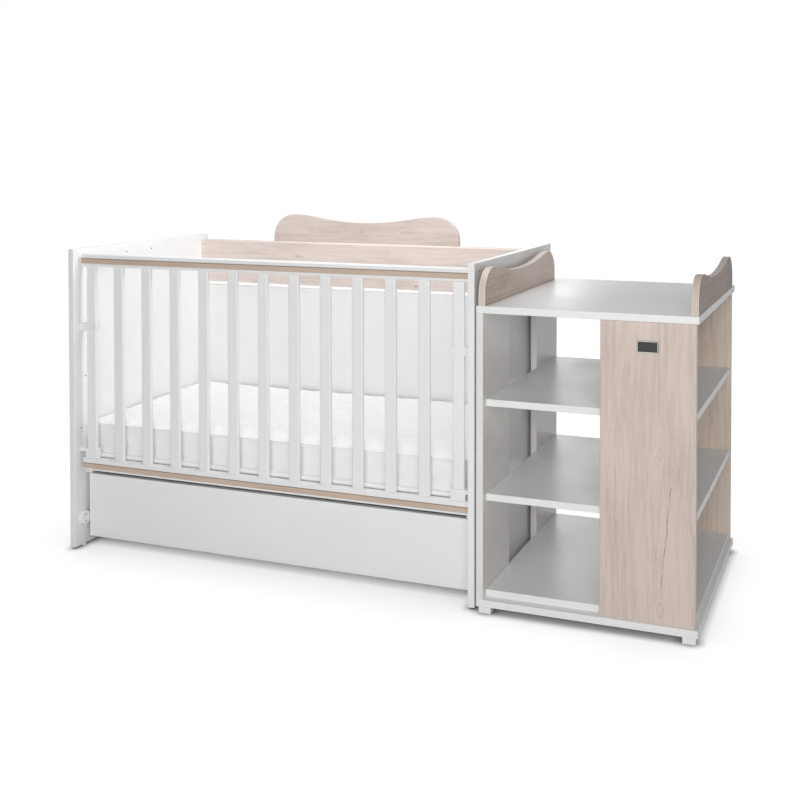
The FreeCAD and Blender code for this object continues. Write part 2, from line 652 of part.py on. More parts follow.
def guides_and_stops():
    """Two guides and a stop on each end panel."""
    cutters = panel_screws(DRILL_CLEAR)
    upper = guide(Z_UPPER_GUIDE, GUIDE_HEIGHT, GUIDE_HEIGHT)
    lower = guide(Z_LOWER_GUIDE, LOWER_GUIDE_HEIGHT, LOWER_GUIDE_ARM)
    disc = rod(STOP_RADIUS, STOP_THICKNESS, Vector(X_IN_LEFT, Y_STOP, Z_STOP), X_AXIS)
    rim = [e for e in disc.Edges if e.CenterOfMass.x > X_IN_LEFT + STOP_THICKNESS / 2 and e.Closed]
    disc = disc.makeFillet(STOP_ROUND, [e for e in rim if abs(e.BoundBox.XLength) < SLIDE_CLEAR])
    out = {}
    for name, solid in (("upper_guide", upper), ("lower_guide", lower), ("gate_stop", disc)):
        out["left_" + name] = drill(solid, cutters)
        out["right_" + name] = drill(mirrored(solid), cutters)
    return out


def roller(point):
    """A roller about a pin that runs along +X from the point."""
    body = rod(ROLLER_RADIUS, ROLLER_WIDTH, point, X_AXIS)
    return body.cut(rod(ROLLER_PIN_RADIUS + ROLLER_PIN_CLEAR, ROLLER_WIDTH, point, X_AXIS))


def runners():
    """Left-hand track with the front roller, left-hand drawer profile with the rear roller, and mirrors."""
    x0 = X_IN_LEFT
    x1 = x0 + TRACK_WIDTH
    y0 = Y_TRACK
    y1 = Y_TRACK_END
    z0 = TRACK_BOTTOM
    z1 = z0 + TRACK_HEIGHT
    track = block(x0, x1, y0, y1, z0, z1).cut(
        block(x0 + RUNNER_SHEET, x1, y0, y1, z0 + RUNNER_SHEET, z1 - RUNNER_SHEET)
    )
    y_front_roller = y0 + ROLLER_END_INSET
    x_roller = x0 + RUNNER_SHEET + ROLLER_SIDE_GAP
    pin_end = x_roller + ROLLER_WIDTH
    x_pin = x0 + RUNNER_SHEET / 2
    front_pin = rod(ROLLER_PIN_RADIUS, pin_end - x_pin, Vector(x_pin, y_front_roller, Z_ROLLER), X_AXIS)
    track = drill(track.fuse(front_pin).removeSplitter(), panel_screws(DRILL_CLEAR))
    front_roller = roller(Vector(x_roller, y_front_roller, Z_ROLLER))

    x_web = X_BOX - PROFILE_SHEET
    web = block(x_web, X_BOX, Y_BOX, Y_BOX_END, DRAWER_WALL_BOTTOM, Z_PROFILE + PROFILE_SHEET)
    flange = block(x_web - PROFILE_FOOT, x_web, Y_BOX, Y_BOX_END, Z_PROFILE, Z_PROFILE + PROFILE_SHEET)
    y_rear_roller = y1 - ROLLER_END_INSET
    x_rear_roller = x_web - ROLLER_SIDE_GAP - ROLLER_WIDTH
    pin_length = X_BOX - PROFILE_SHEET / 2 - x_rear_roller
    rear_pin = rod(ROLLER_PIN_RADIUS, pin_length, Vector(x_rear_roller, y_rear_roller, Z_ROLLER), X_AXIS)
    profile = web.fuse([flange, rear_pin]).removeSplitter()
    rear_roller = roller(Vector(x_rear_roller, y_rear_roller, Z_ROLLER))
    return {
        "left_runner_track": track,
        "right_runner_track": mirrored(track),
        "left_drawer_profile": profile,
        "right_drawer_profile": mirrored(profile),
        "front_rollers": [front_roller, mirrored(front_roller)],
        "rear_rollers": [rear_roller, mirrored(rear_roller)],
    }


def drawer_screws(clearance=0):
    """Screws through the drawer's sides into its back."""
    y_back = Y_BOX_END - DRAWER_WALL / 2
    out = []
    for x, axis in ((X_BOX, X_AXIS), (X_BOX_END, -X_AXIS)):
        for z in at_shares(DRAWER_WALL_BOTTOM, Z_BOX_TOP, DRAWER_JOINT_SHARES):
            out.append(screw(
                Vector(x, y_back, z), axis, SMALL_SCREW_RADIUS, DRAWER_SCREW_LENGTH,
                SMALL_SCREW_HEAD_RADIUS, SMALL_SCREW_HEAD_HEIGHT, clearance,
            ))
    return out


def drawer_dowels(clearance=0):
    """Dowels that join the drawer's front to its sides."""
    start = Y_BOX - DOWEL_SHALLOW - clearance
    length = DOWEL_LENGTH + clearance * 2
    out = []
    for x in (X_BOX + DRAWER_WALL / 2, X_BOX_END - DRAWER_WALL / 2):
        for z in at_shares(DRAWER_WALL_BOTTOM, Z_BOX_TOP, DRAWER_JOINT_SHARES):
            out.append(rod(DRAWER_DOWEL_RADIUS + clearance, length, Vector(x, start, z), Y_AXIS))
    return out


def drawer():
    """Front, sides, back and a bottom let into grooves."""
    cutters = drawer_screws(DRILL_CLEAR) + drawer_dowels(DRILL_CLEAR)
    x0 = X_BOX + DRAWER_WALL - DRAWER_GROOVE
    x1 = X_BOX_END - DRAWER_WALL + DRAWER_GROOVE
    y0 = Y_BOX - DRAWER_GROOVE
    y1 = Y_BOX_END - DRAWER_WALL + DRAWER_GROOVE
    z1 = Z_DRAWER_FLOOR + DRAWER_BOTTOM_BOARD
    bottom = block(x0, x1, y0, y1, Z_DRAWER_FLOOR, z1)
    groove = block(
        x0 - DRILL_CLEAR, x1 + DRILL_CLEAR, y0 - DRILL_CLEAR, y1 + DRILL_CLEAR,
        Z_DRAWER_FLOOR, z1 + DRILL_CLEAR,
    )
    front = board(X_DRAWER, X_DRAWER_END, Y_DRAWER, Y_BOX, DRAWER_FRONT_BOTTOM, Z_DRAWER_TOP)
    left = board(X_BOX, X_BOX + DRAWER_WALL, Y_BOX, Y_BOX_END, DRAWER_WALL_BOTTOM, Z_BOX_TOP)
    right = board(X_BOX_END - DRAWER_WALL, X_BOX_END, Y_BOX, Y_BOX_END, DRAWER_WALL_BOTTOM, Z_BOX_TOP)
    back = board(
        X_BOX + DRAWER_WALL, X_BOX_END - DRAWER_WALL, Y_BOX_END - DRAWER_WALL, Y_BOX_END,
        DRAWER_WALL_BOTTOM, Z_BOX_TOP,
    )
    return {
        "drawer_front": drill(front.cut(groove), cutters),
        "drawer_left_side": drill(left.cut(groove), cutters),
        "drawer_right_side": drill(right.cut(groove), cutters),
        "drawer_back": drill(back.cut(groove), cutters),
        "drawer_bottom": bottom,
    }


def cabinet_boards():
    """Top, base, shelves, uprights and panels before their joints are drilled."""
    out = {
        "cabinet_top": board(X_CABINET, X_CABINET_END, Y_CABINET, Y_CABINET_END, Z_TOP, Z_TABLE),
        "cabinet_base": board(X_CABINET, X_CABINET_END, Y_CABINET, Y_CABINET_END, FOOT_HEIGHT, Z_CABINET),
    }
    for name, z in zip(("cabinet_bottom_shelf", "cabinet_lower_shelf", "cabinet_upper_shelf"), SHELF_BOTTOMS):
        out[name] = board(X_SHELF, X_SHELF_END, Y_SHELF, Y_SHELF_END, z, z + BOARD)
    for name, y in (("front_left_upright", Y_CABINET), ("rear_left_upright", Y_CABINET_END - UPRIGHT_DEPTH)):
        out[name] = board(X_CABINET, X_SHELF, y, y + UPRIGHT_DEPTH, Z_CABINET, Z_TOP)
    for name, y in (("front_wood_panel", Y_PANEL), ("rear_wood_panel", Y_SHELF_END)):
        out[name] = board(X_PANEL, X_PANEL_END, y, y + BOARD, Z_CABINET, Z_TOP)
    return out


def upright_spans():
    """Depth spans over which the shelves meet the two uprights."""
    return ((Y_SHELF, Y_CABINET + UPRIGHT_DEPTH), (Y_CABINET_END - UPRIGHT_DEPTH, Y_SHELF_END))


def dowels(clearance=0):
    """Wooden dowels in every joint of the cabinet."""
    radius = DOWEL_RADIUS + clearance
    length = DOWEL_LENGTH + clearance * 2
    shallow = DOWEL_SHALLOW + clearance
    out = []
    seats = [(X_CABINET + BOARD / 2, y) for span in upright_spans() for y in at_shares(*span, DOWEL_SHARES)]
    for y in (Y_PANEL + BOARD / 2, Y_SHELF_END + BOARD / 2):
        seats += [(x, y) for x in at_shares(X_PANEL, X_PANEL_END, DOWEL_SHARES)]
    for x, y in seats:
        out.append(rod(radius, length, Vector(x, y, Z_CABINET - shallow), Z_AXIS))
        out.append(rod(radius, length, Vector(x, y, Z_TOP + shallow), -Z_AXIS))
    for z0 in SHELF_BOTTOMS[1:]:
        z = z0 + BOARD / 2
        for span in upright_spans():
            for y in at_shares(*span, DOWEL_SHARES):
                out.append(rod(radius, length, Vector(X_SHELF - shallow, y, z), X_AXIS))
        for x in at_shares(X_PANEL, X_SHELF_END, DOWEL_SHARES):
            out.append(rod(radius, length, Vector(x, Y_SHELF - shallow, z), Y_AXIS))
            out.append(rod(radius, length, Vector(x, Y_SHELF_END + shallow, z), -Y_AXIS))
    return out


def cam_locks(clearance=0):
    """Cam discs under the two upper shelves, each with the bolt that it pulls."""
    radius = CAM_RADIUS + clearance
    bolt_radius = CAM_BOLT_RADIUS + clearance
    seat = CAM_BOLT_SEAT + clearance
    ends = []
    for z0 in SHELF_BOTTOMS[1:]:
        for span in upright_spans():
            ends += [(Vector(X_SHELF, y, z0), X_AXIS) for y in at_shares(*span, CAM_SHARES)]
        for x in at_shares(X_PANEL, X_SHELF_END, CAM_SHARES):
            ends.append((Vector(x, Y_SHELF, z0), Y_AXIS))
            ends.append((Vector(x, Y_SHELF_END, z0), -Y_AXIS))
    out = []
    for point, axis in ends:
        disc = rod(radius, CAM_HEIGHT + clearance, point + axis * CAM_INSET, Z_AXIS)
        start = point - axis * seat + Z_AXIS * (BOARD / 2)
        out.append(disc.fuse(rod(bolt_radius, seat + CAM_INSET, start, axis)).removeSplitter())
    return out


def base_screws(clearance=0):
    """Screws from under the base board into the bottom shelf, the uprights and the panels."""
    x_upright = X_CABINET + BOARD / 2
    places = [(x_upright, y) for span in upright_spans() for y in at_shares(*span, CAM_SHARES)]
    for y in (Y_PANEL + BOARD / 2, Y_SHELF_END + BOARD / 2):
        places += [(x, y) for x in at_shares(X_PANEL, X_PANEL_END, CAM_SHARES)]
    out = [frame_screw(Vector(x, y, FOOT_HEIGHT), Z_AXIS, clearance) for x, y in places]
    shelf_reach = BOARD + BOARD * DOWEL_SHARES[1]
    for x in at_shares(X_SHELF, X_SHELF_END, DOWEL_SHARES):
        for y in at_shares(Y_SHELF, Y_SHELF_END, DOWEL_SHARES):
            out.append(frame_screw(Vector(x, y, FOOT_HEIGHT), Z_AXIS, clearance, shelf_reach))
    return out


def wave_rail_places():
    """Left faces of the two wave rails."""
    return {
        "left_wave_rail": X_CABINET + WAVE_SIDE_SETBACK,
        "right_wave_rail": X_CABINET_END - WAVE_SIDE_SETBACK - BOARD,
    }


def wave_rail_screws(clearance=0):
    """Screws from under the table top into the wave rails."""
    ys = at_shares(Y_CABINET, Y_CABINET + WAVE_LENGTH, WAVE_SCREW_SHARES)
    xs = [x + BOARD / 2 for x in wave_rail_places().values()]
    return [
        frame_screw(Vector(x, y + WAVE_FRONT_SETBACK, Z_TOP), Z_AXIS, clearance, WAVE_SCREW_LENGTH)
        for x in xs for y in ys
    ]


def wave_rails():
    """Rails with two humps that stand along both sides of the table top."""
    out = {}
    for name, x in wave_rail_places().items():
        def place(u, v, x=x):
            return Vector(x, Y_CABINET + WAVE_FRONT_SETBACK + u, Z_TABLE + v)

        face = wave_face(WAVE_LENGTH, 0, WAVE_SHOULDER, WAVE_HUMP, WAVE_DIP, WAVE_TURN_SHARE, place)
        out[name] = wave_board(face, Vector(BOARD, 0, 0))
    return out


def cabinet():
    """All the cabinet's boards with their joints drilled, its rails, feet and badge."""
    cutters = dowels(DRILL_CLEAR) + cam_locks(DRILL_CLEAR) + base_screws(DRILL_CLEAR)
    cutters += wave_rail_screws(DRILL_CLEAR) + link_bolts(DRILL_CLEAR)
    solids = cabinet_boards()
    solids.update(wave_rails())
    out = {name: drill(solid, cutters) for name, solid in solids.items()}
    feet = []
    for x in (X_CABINET + FOOT_INSET, X_CABINET_END - FOOT_INSET - FOOT_SIZE):
        for y in (Y_CABINET + FOOT_INSET, Y_CABINET_END - FOOT_INSET - FOOT_SIZE):
            feet.append(board(x, x + FOOT_SIZE, y, y + FOOT_SIZE, 0, FOOT_HEIGHT))
    out["cabinet_feet"] = [drill(foot, cutters) for foot in feet]
    x = (X_PANEL + X_PANEL_END) / 2
    z = Z_TOP - BADGE_TOP_DROP
    out["badge_plate"] = board(
        x - BADGE_WIDTH / 2, x + BADGE_WIDTH / 2, Y_PANEL - BADGE_THICKNESS, Y_PANEL,
        z - BADGE_HEIGHT, z, BADGE_THICKNESS / 2 - DRILL_CLEAR,
    )
    return out


def save(name, shape):
    """Writes one node; a list becomes a group of separate solids."""
    if isinstance(shape, list):
        shape = Part.makeCompound(shape)
    shape.exportStep("parts/" + name + ".step")


def main():
    """Builds every node and writes it."""
    os.makedirs("parts", exist_ok=True)
    nodes = {}
    for make in (end_panels, crib_back, mattress_base, gate, guides_and_stops, runners, drawer, cabinet):
        nodes.update(make())
    nodes["panel_glides"] = glides()
    nodes["frame_screws"] = crib_screws()
    nodes["rail_dowels"] = rail_dowels()
    nodes["crest_screws"] = crest_screws()
    nodes["panel_screws"] = panel_screws()
    nodes["drawer_screws"] = drawer_screws()
    nodes["drawer_dowels"] = drawer_dowels()
    nodes["link_bolts"] = link_bolts()
    nodes["link_spacers"] = link_spacers()
    nodes["wave_rail_screws"] = wave_rail_screws()
    nodes["cabinet_screws"] = base_screws()
    nodes["cabinet_dowels"] = dowels()
    nodes["cam_locks"] = cam_locks()
    nodes["mattress"] = mattress()
    for name, shape in nodes.items():
        save(name, shape)
    print(len(nodes), "nodes")


main()
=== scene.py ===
import json
import logging
import math
from collections.abc import Callable, Iterator, Mapping
from contextlib import contextmanager
from dataclasses import dataclass
from enum import Enum

import bmesh
import bpy
import numpy as np
from mathutils import Matrix, Vector


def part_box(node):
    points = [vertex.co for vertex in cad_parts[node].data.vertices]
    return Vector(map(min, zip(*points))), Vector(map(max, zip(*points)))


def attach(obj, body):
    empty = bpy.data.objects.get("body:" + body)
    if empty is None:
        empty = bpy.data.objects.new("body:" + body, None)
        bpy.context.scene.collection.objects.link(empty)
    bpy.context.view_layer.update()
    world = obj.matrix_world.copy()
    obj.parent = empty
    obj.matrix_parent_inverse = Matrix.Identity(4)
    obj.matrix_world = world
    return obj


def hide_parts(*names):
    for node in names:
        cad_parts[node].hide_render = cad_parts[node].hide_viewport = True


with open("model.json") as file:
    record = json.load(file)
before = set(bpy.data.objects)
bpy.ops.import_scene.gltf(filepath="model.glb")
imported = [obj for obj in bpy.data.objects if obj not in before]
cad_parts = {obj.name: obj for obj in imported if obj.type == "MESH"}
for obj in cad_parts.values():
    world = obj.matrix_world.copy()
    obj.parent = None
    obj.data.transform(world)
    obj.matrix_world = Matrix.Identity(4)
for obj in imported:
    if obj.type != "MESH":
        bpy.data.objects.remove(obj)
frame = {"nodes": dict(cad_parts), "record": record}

log = logging.getLogger("crib")

Colour = tuple[float, float, float]
Triple = tuple[float, float, float]
Pair = tuple[float, float]
Socket = bpy.types.NodeSocket
Sockets = Mapping[str, Socket]
Tree = bpy.types.NodeTree
Material = bpy.types.Material
Piece = bpy.types.Object

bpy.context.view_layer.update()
BORED = "bored"
# Attribute that masks the painted shade in the mattress's stitched channels.
STITCH_SHADE = "stitch"
WELD = 0.00001
END_ON = 0.9
MIX_FIRST = 6
MIX_SECOND = 7
MIX_RESULT = 2


# Modelling by hand: selection, edit mode and modifiers

def pick(*pieces: Piece) -> None:
    """Selects these pieces alone.

    Args:
        pieces: The pieces; the first becomes the active one.
    """
    bpy.ops.object.select_all(action="DESELECT")
    for piece in pieces:
        piece.select_set(True)
    bpy.context.view_layer.objects.active = pieces[0]


@contextmanager
def editing(piece: Piece) -> Iterator[None]:
    """Edit mode on one piece, entered and left with nothing selected.

    Args:
        piece: The mesh object to edit.

    Yields:
        Nothing, while the piece is in edit mode.
    """
    pick(piece)
    bpy.ops.object.mode_set(mode="EDIT")
    bpy.ops.mesh.select_mode(type="FACE")
    bpy.ops.mesh.select_all(action="DESELECT")
    yield
    bpy.ops.mesh.select_all(action="DESELECT")
    bpy.ops.object.mode_set(mode="OBJECT")


def select_faces(piece: Piece, wanted: Callable[[Vector], bool]) -> None:
    """Selects the faces, in edit mode, whose normal passes a test.

    Args:
        piece: The mesh object that is being edited.
        wanted: Takes a face's normal.
    """
    shape = bmesh.from_edit_mesh(piece.data)
    for face in shape.faces:
        face.select_set(wanted(face.normal))
    bmesh.update_edit_mesh(piece.data)


def looks_up(normal: Vector) -> bool:
    """Tells a face that looks up."""
    return normal.z > END_ON


def looks_down(normal: Vector) -> bool:
    """Tells a face that looks down."""
    return normal.z < -END_ON


def extrude(move: Triple) -> None:
    """Extrudes the selected faces and moves them."""
    bpy.ops.mesh.extrude_region_move(TRANSFORM_OT_translate={"value": move})


def taper(share: float, height: float) -> None:
    """Scales the selected faces about the Z axis, at a height."""
    bpy.ops.transform.resize(value=(share, share, 1.0), center_override=(0.0, 0.0, height))


def apply_modifier(piece: Piece, kind: str, **settings: object) -> None:
    """Adds a modifier with its settings and applies it.

    Args:
        piece: The mesh object.
        kind: The modifier's type, such as BEVEL.
        settings: The modifier's own settings.
    """
    pick(piece)
    bpy.ops.object.modifier_add(type=kind)
    modifier = piece.modifiers[-1]
    for key, value in settings.items():
        setattr(modifier, key, value)
    bpy.ops.object.modifier_apply(modifier=modifier.name)


def add_object(name: str, data: bpy.types.ID) -> Piece:
    """Puts a new object into the scene.

    Args:
        name: The object's name.
        data: Its mesh, curve, lamp or camera.

    Returns:
        The object.
    """
    made = bpy.data.objects.new(name, data)
    bpy.context.scene.collection.objects.link(made)
    return made


def settle(piece: Piece, name: str) -> Piece:
    """Names a piece and puts its place into its mesh.

    Args:
        piece: The object to settle.
        name: Its new name, which its mesh takes too.

    Returns:
        The same object, at the origin, unturned and unscaled.
    """
    pick(piece)
    bpy.ops.object.transform_apply(location=True, rotation=True, scale=True)
    piece.name = name
    piece.data.name = name
    return piece


def place_in_part(piece: Piece, body: str, material: Material) -> None:
    """Dresses a new piece and fastens it to a body of the part.

    Args:
        piece: The finished piece.
        body: The body that it moves with.
        material: Its finish.
    """
    piece.data.materials.clear()
    piece.data.materials.append(material)
    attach(piece, body)
    log.info("%s: %d faces on %s", piece.name, len(piece.data.polygons), body)


# Shader graphs and the effects that several finishes share

class Graph:
    """Writes the nodes of one shader tree."""

    def __init__(self, tree: Tree) -> None:
        """Takes the tree to write into."""
        self.tree = tree

    def feed(self, socket: Socket, value: object) -> None:
        """Links a socket into an input, or sets the input's own value.

        Args:
            socket: The input.
            value: An output socket, a number or a colour.
        """
        if isinstance(value, Socket):
            self.tree.links.new(value, socket)
        else:
            socket.default_value = value

    def node(self, kind: str, inputs: dict | None = None, **settings: object) -> Sockets:
        """Adds a node.

        Args:
            kind: The node's type name, without the leading ShaderNode.
            inputs: Values or sockets by input name or number.
            settings: The node's own settings.

        Returns:
            The new node's outputs.
        """
        made = self.tree.nodes.new("ShaderNode" + kind)
        for key, value in settings.items():
            setattr(made, key, value)
        for key, value in (inputs or {}).items():
            self.feed(made.inputs[key], value)
        return made.outputs

    def math(self, operation: str, first: object, second: object = 0.0) -> Socket:
        """One operation on two values."""
        return self.node("Math", {0: first, 1: second}, operation=operation)[0]

    def times(self, first: object, second: object) -> Socket:
        """The product of two values."""
        return self.math("MULTIPLY", first, second)

    def less(self, first: object, second: object) -> Socket:
        """The first value less the second."""
        return self.math("SUBTRACT", first, second)

    def total(self, *terms: tuple[object, float]) -> Socket:
        """The sum of values, each times its weight.

        Args:
            terms: Values with their weights.

        Returns:
            The sum.
        """
        result = self.times(*terms[0])
        for value, weight in terms[1:]:
            result = self.math("ADD", result, self.times(value, weight))
        return result

    def vector(self, operation: str, first: object, second: object) -> Socket:
        """One operation on two vectors."""
        return self.node("VectorMath", {0: first, 1: second}, operation=operation)[0]

    def split(self, vector: Socket) -> tuple[Socket, Socket, Socket]:
        """The three parts of a vector."""
        return tuple(self.node("SeparateXYZ", {0: vector})[:3])

    def join(self, x: object, y: object, z: object) -> Socket:
        """A vector from three values."""
        return self.node("CombineXYZ", {0: x, 1: y, 2: z})[0]

    def noise(self, vector: Socket, waves: Triple, detail: float = 2.0, roughness: float = 0.5) -> Socket:
        """Soft noise from 0 to 1.

        Args:
            vector: The place on the piece, in metres.
            waves: Waves per metre along each axis.
            detail: Octaves.
            roughness: Weight of the finer octaves.

        Returns:
            The noise value.
        """
        scaled = self.vector("MULTIPLY", vector, waves)
        inputs = {"Vector": scaled, "Scale": 1.0, "Detail": detail, "Roughness": roughness}
        return self.node("TexNoise", inputs)["Fac"]

    def step(self, value: object, low: object, high: object) -> Socket:
        """A smooth step from 0 at low to 1 at high."""
        inputs = {"Value": value, "From Min": low, "From Max": high}
        return self.node("MapRange", inputs, interpolation_type="SMOOTHSTEP")["Result"]

    def span(self, value: Socket, low: float, high: float) -> Socket:
        """A value from 0 to 1 spread between two numbers."""
        return self.node("MapRange", {"Value": value, "To Min": low, "To Max": high})["Result"]

    def blend(self, amount: object, first: object, second: object) -> Socket:
        """A colour between two colours.

        Args:
            amount: The second colour's share.
            first: A colour or a colour socket.
            second: A colour or a colour socket.

        Returns:
            The blended colour.
        """
        first = (*first, 1.0) if isinstance(first, tuple) else first
        second = (*second, 1.0) if isinstance(second, tuple) else second
        inputs = {0: amount, MIX_FIRST: first, MIX_SECOND: second}
        return self.node("Mix", inputs, data_type="RGBA")[MIX_RESULT]

    def effect(self, tree: Tree, **inputs: object) -> Sockets:
        """Places a shared effect.

        Args:
            tree: The effect's node group.
            inputs: Its inputs by name.

        Returns:
            Its outputs.
        """
        return self.node("Group", inputs, node_tree=tree)

    def place(self) -> Socket:
        """The place on the piece, in metres."""
        return self.node("TexCoord")["Object"]


class Effects:
    """The effects that more than one finish uses, each built once as a node group."""

    GRAIN_DRIFT = 0.045
    DASH_LIMITS = (0.60, 0.72)
    DOT_LIMITS = (0.64, 0.76)
    SWIRL_PULL = -0.55
    RING_PITCH = 16.0
    RING_WOBBLE = 7.0
    CRACK_WANDER = 0.012
    CRACK_FADE = 0.05
    BREAK_LIMITS = (0.34, 0.62)
    FACE_ON = (0.45, 0.75)
    PATCH_LIMITS = (0.46, 0.70)
    LOOP_WANDER = 3.0
    LOOP_HEIGHT = 0.25

    def __init__(self) -> None:
        """Builds every group."""
        self.wood = self.build_wood()
        self.swirl = self.build_swirl()
        self.crack = self.build_crack()
        self.edge = self.build_edge()
        self.skin = self.build_skin()
        self.handling = self.build_handling()
        self.knit = self.build_knit()

    @staticmethod
    def open_group(name: str, values: str, results: str) -> tuple[Graph, Sockets, Sockets]:
        """Starts a node group.

        Args:
            name: The group's name.
            values: Its inputs' names; Vector, Normal and Facing are vectors and the rest are numbers.
            results: Its outputs' names, by the same rule.

        Returns:
            Its graph, its inner input sockets and its inner output sockets, by name.
        """
        tree = bpy.data.node_groups.new(name, "ShaderNodeTree")
        for way, names in (("INPUT", values), ("OUTPUT", results)):
            for key in names.split():
                kind = "Vector" if key in ("Vector", "Normal", "Facing") else "Float"
                tree.interface.new_socket(key, in_out=way, socket_type="NodeSocket" + kind)
        start = tree.nodes.new("NodeGroupInput")
        end = tree.nodes.new("NodeGroupOutput")
        return Graph(tree), start.outputs, end.inputs

    @staticmethod
    def close_group(graph: Graph, out: Sockets, **results: Socket) -> Tree:
        """Links a group's results to its outputs.

        Args:
            graph: The group's graph.
            out: Its inner output sockets.
            results: The results by output name.

        Returns:
            The group's tree.
        """
        for key, value in results.items():
            graph.feed(out[key], value)
        return graph.tree

    def build_wood(self) -> Tree:
        """Wood figure on a board's own axes: along the grain, across it and through the board.

        Returns:
            The group's tree.
        """
        graph, given, out = self.open_group("wood_figure", "Vector Seed", "Tone Pores Height")
        moved = graph.vector("ADD", given["Vector"], graph.join(given["Seed"], given["Seed"], given["Seed"]))
        along, across, through = graph.split(moved)
        drift = graph.noise(moved, (1.6, 6.0, 6.0))
        bent = graph.math("ADD", across, graph.times(drift, self.GRAIN_DRIFT))
        place = graph.join(along, bent, through)
        cloud = graph.noise(place, (3.6, 13.0, 9.0), detail=3.0)
        streak = graph.noise(place, (6.5, 105.0, 50.0), detail=5.0, roughness=0.62)
        fine = graph.noise(place, (30.0, 540.0, 260.0), detail=3.0, roughness=0.6)
        dashes = graph.step(graph.noise(place, (26.0, 330.0, 160.0)), *self.DASH_LIMITS)
        dots = graph.step(graph.noise(place, (60.0, 1100.0, 500.0), detail=1.0), *self.DOT_LIMITS)
        pores = graph.math("MAXIMUM", dashes, dots)
        tone = graph.total((cloud, 0.34), (streak, 0.44), (fine, 0.22))
        height = graph.total((fine, 0.6), (streak, 0.4), (pores, -0.7))
        return self.close_group(graph, out, Tone=tone, Pores=pores, Height=height)

    def build_swirl(self) -> Tree:
        """Grain that flows round a spot, with a mask and faint arcs at the spot.

        Returns:
            The group's tree.
        """
        graph, given, out = self.open_group(
            "grain_swirl", "Vector Along Across Length Breadth", "Vector Mask Arcs",
        )
        along, across, through = graph.split(given["Vector"])
        off_along = graph.less(along, given["Along"])
        off_across = graph.less(across, given["Across"])
        u = graph.math("DIVIDE", off_along, given["Length"])
        v = graph.math("DIVIDE", off_across, given["Breadth"])
        reach = graph.math("SQRT", graph.math("ADD", graph.times(u, u), graph.times(v, v)))
        mask = graph.less(1.0, graph.step(reach, 0.0, 1.0))
        pull = graph.times(graph.times(off_across, mask), self.SWIRL_PULL)
        bent = graph.join(along, graph.math("ADD", across, pull), through)
        wobble = graph.noise(given["Vector"], (30.0, 60.0, 60.0))
        rings = graph.math("SINE", graph.total((reach, self.RING_PITCH), (wobble, self.RING_WOBBLE)))
        return self.close_group(graph, out, Vector=bent, Mask=mask, Arcs=graph.times(rings, mask))

    def build_crack(self) -> Tree:
        """A thin dark line along the grain, with faded ends.

        Returns:
            The group's tree.
        """
        graph, given, out = self.open_group("grain_crack", "Vector Start End Across Lean Width", "Mask")
        along, across, _ = graph.split(given["Vector"])
        run = graph.less(along, given["Start"])
        wobble = graph.less(graph.noise(given["Vector"], (22.0, 0.0, 0.0), detail=3.0), 0.5)
        lean = graph.times(run, given["Lean"])
        line = graph.total((lean, 1.0), (wobble, self.CRACK_WANDER), (given["Across"], 1.0))
        off = graph.math("ABSOLUTE", graph.less(across, line))
        inside = graph.less(1.0, graph.step(off, 0.0, given["Width"]))
        rise = graph.step(along, given["Start"], graph.math("ADD", given["Start"], self.CRACK_FADE))
        fall = graph.step(along, graph.less(given["End"], self.CRACK_FADE), given["End"])
        length = graph.times(rise, graph.less(1.0, fall))
        broken = graph.step(graph.noise(given["Vector"], (34.0, 30.0, 30.0)), *self.BREAK_LIMITS)
        return self.close_group(graph, out, Mask=graph.times(graph.times(inside, length), broken))

    def build_edge(self) -> Tree:
        """One on a board's edges and zero on its two faces.

        Returns:
            The group's tree.
        """
        graph, given, out = self.open_group("board_edge", "Normal Facing", "Edge")
        inputs = {0: given["Normal"], 1: given["Facing"]}
        dot = graph.node("VectorMath", inputs, operation="DOT_PRODUCT")["Value"]
        flat = graph.step(graph.math("ABSOLUTE", dot), *self.FACE_ON)
        return self.close_group(graph, out, Edge=graph.less(1.0, flat))

    def build_skin(self) -> Tree:
        """The fine pearl of a pressed coating or a moulded surface, of a given pearl size.

        Returns:
            The group's tree.
        """
        graph, given, out = self.open_group("pressed_skin", "Vector Pearls", "Height Tone")
        inputs = {0: given["Vector"], "Scale": given["Pearls"]}
        scaled = graph.node("VectorMath", inputs, operation="SCALE")[0]
        pearl = graph.noise(scaled, (1.0, 1.0, 1.0), detail=3.0, roughness=0.55)
        cloud = graph.noise(given["Vector"], (5.0, 5.0, 5.0), detail=3.0)
        tone = graph.total((cloud, 0.7), (pearl, 0.3))
        return self.close_group(graph, out, Height=pearl, Tone=tone)

    def build_handling(self) -> Tree:
        """Faint smudges where hands and cloths have been.

        Returns:
            The group's tree.
        """
        graph, given, out = self.open_group("handling", "Vector", "Smudge")
        cloud = graph.noise(given["Vector"], (7.0, 7.0, 7.0), detail=4.0, roughness=0.6)
        patches = graph.step(cloud, *self.PATCH_LIMITS)
        wipes = graph.noise(given["Vector"], (26.0, 26.0, 6.0), detail=3.0)
        return self.close_group(graph, out, Smudge=graph.times(patches, wipes))

    def build_knit(self) -> Tree:
        """Rows of knitted loops, with the loop pitch given in loops per metre.

        Returns:
            The group's tree.
        """
        graph, given, out = self.open_group("knit_loops", "Vector Loops", "Height Tone")
        turn = graph.times(given["Loops"], 2.0 * math.pi)
        wander = graph.times(graph.noise(given["Vector"], (90.0, 90.0, 90.0)), self.LOOP_WANDER)
        waves = []
        for value in graph.split(given["Vector"]):
            waves.append(graph.math("SINE", graph.math("ADD", graph.times(value, turn), wander)))
        rows = [graph.math("ADD", wave, waves[2]) for wave in waves[:2]]
        loops = graph.times(*rows)
        height = graph.span(graph.times(loops, self.LOOP_HEIGHT), 0.5, 1.0)
        lint = graph.noise(given["Vector"], (420.0, 420.0, 420.0))
        tone = graph.total((height, 0.5), (lint, 0.5))
        return self.close_group(graph, out, Height=height, Tone=tone)


EFFECTS = Effects()


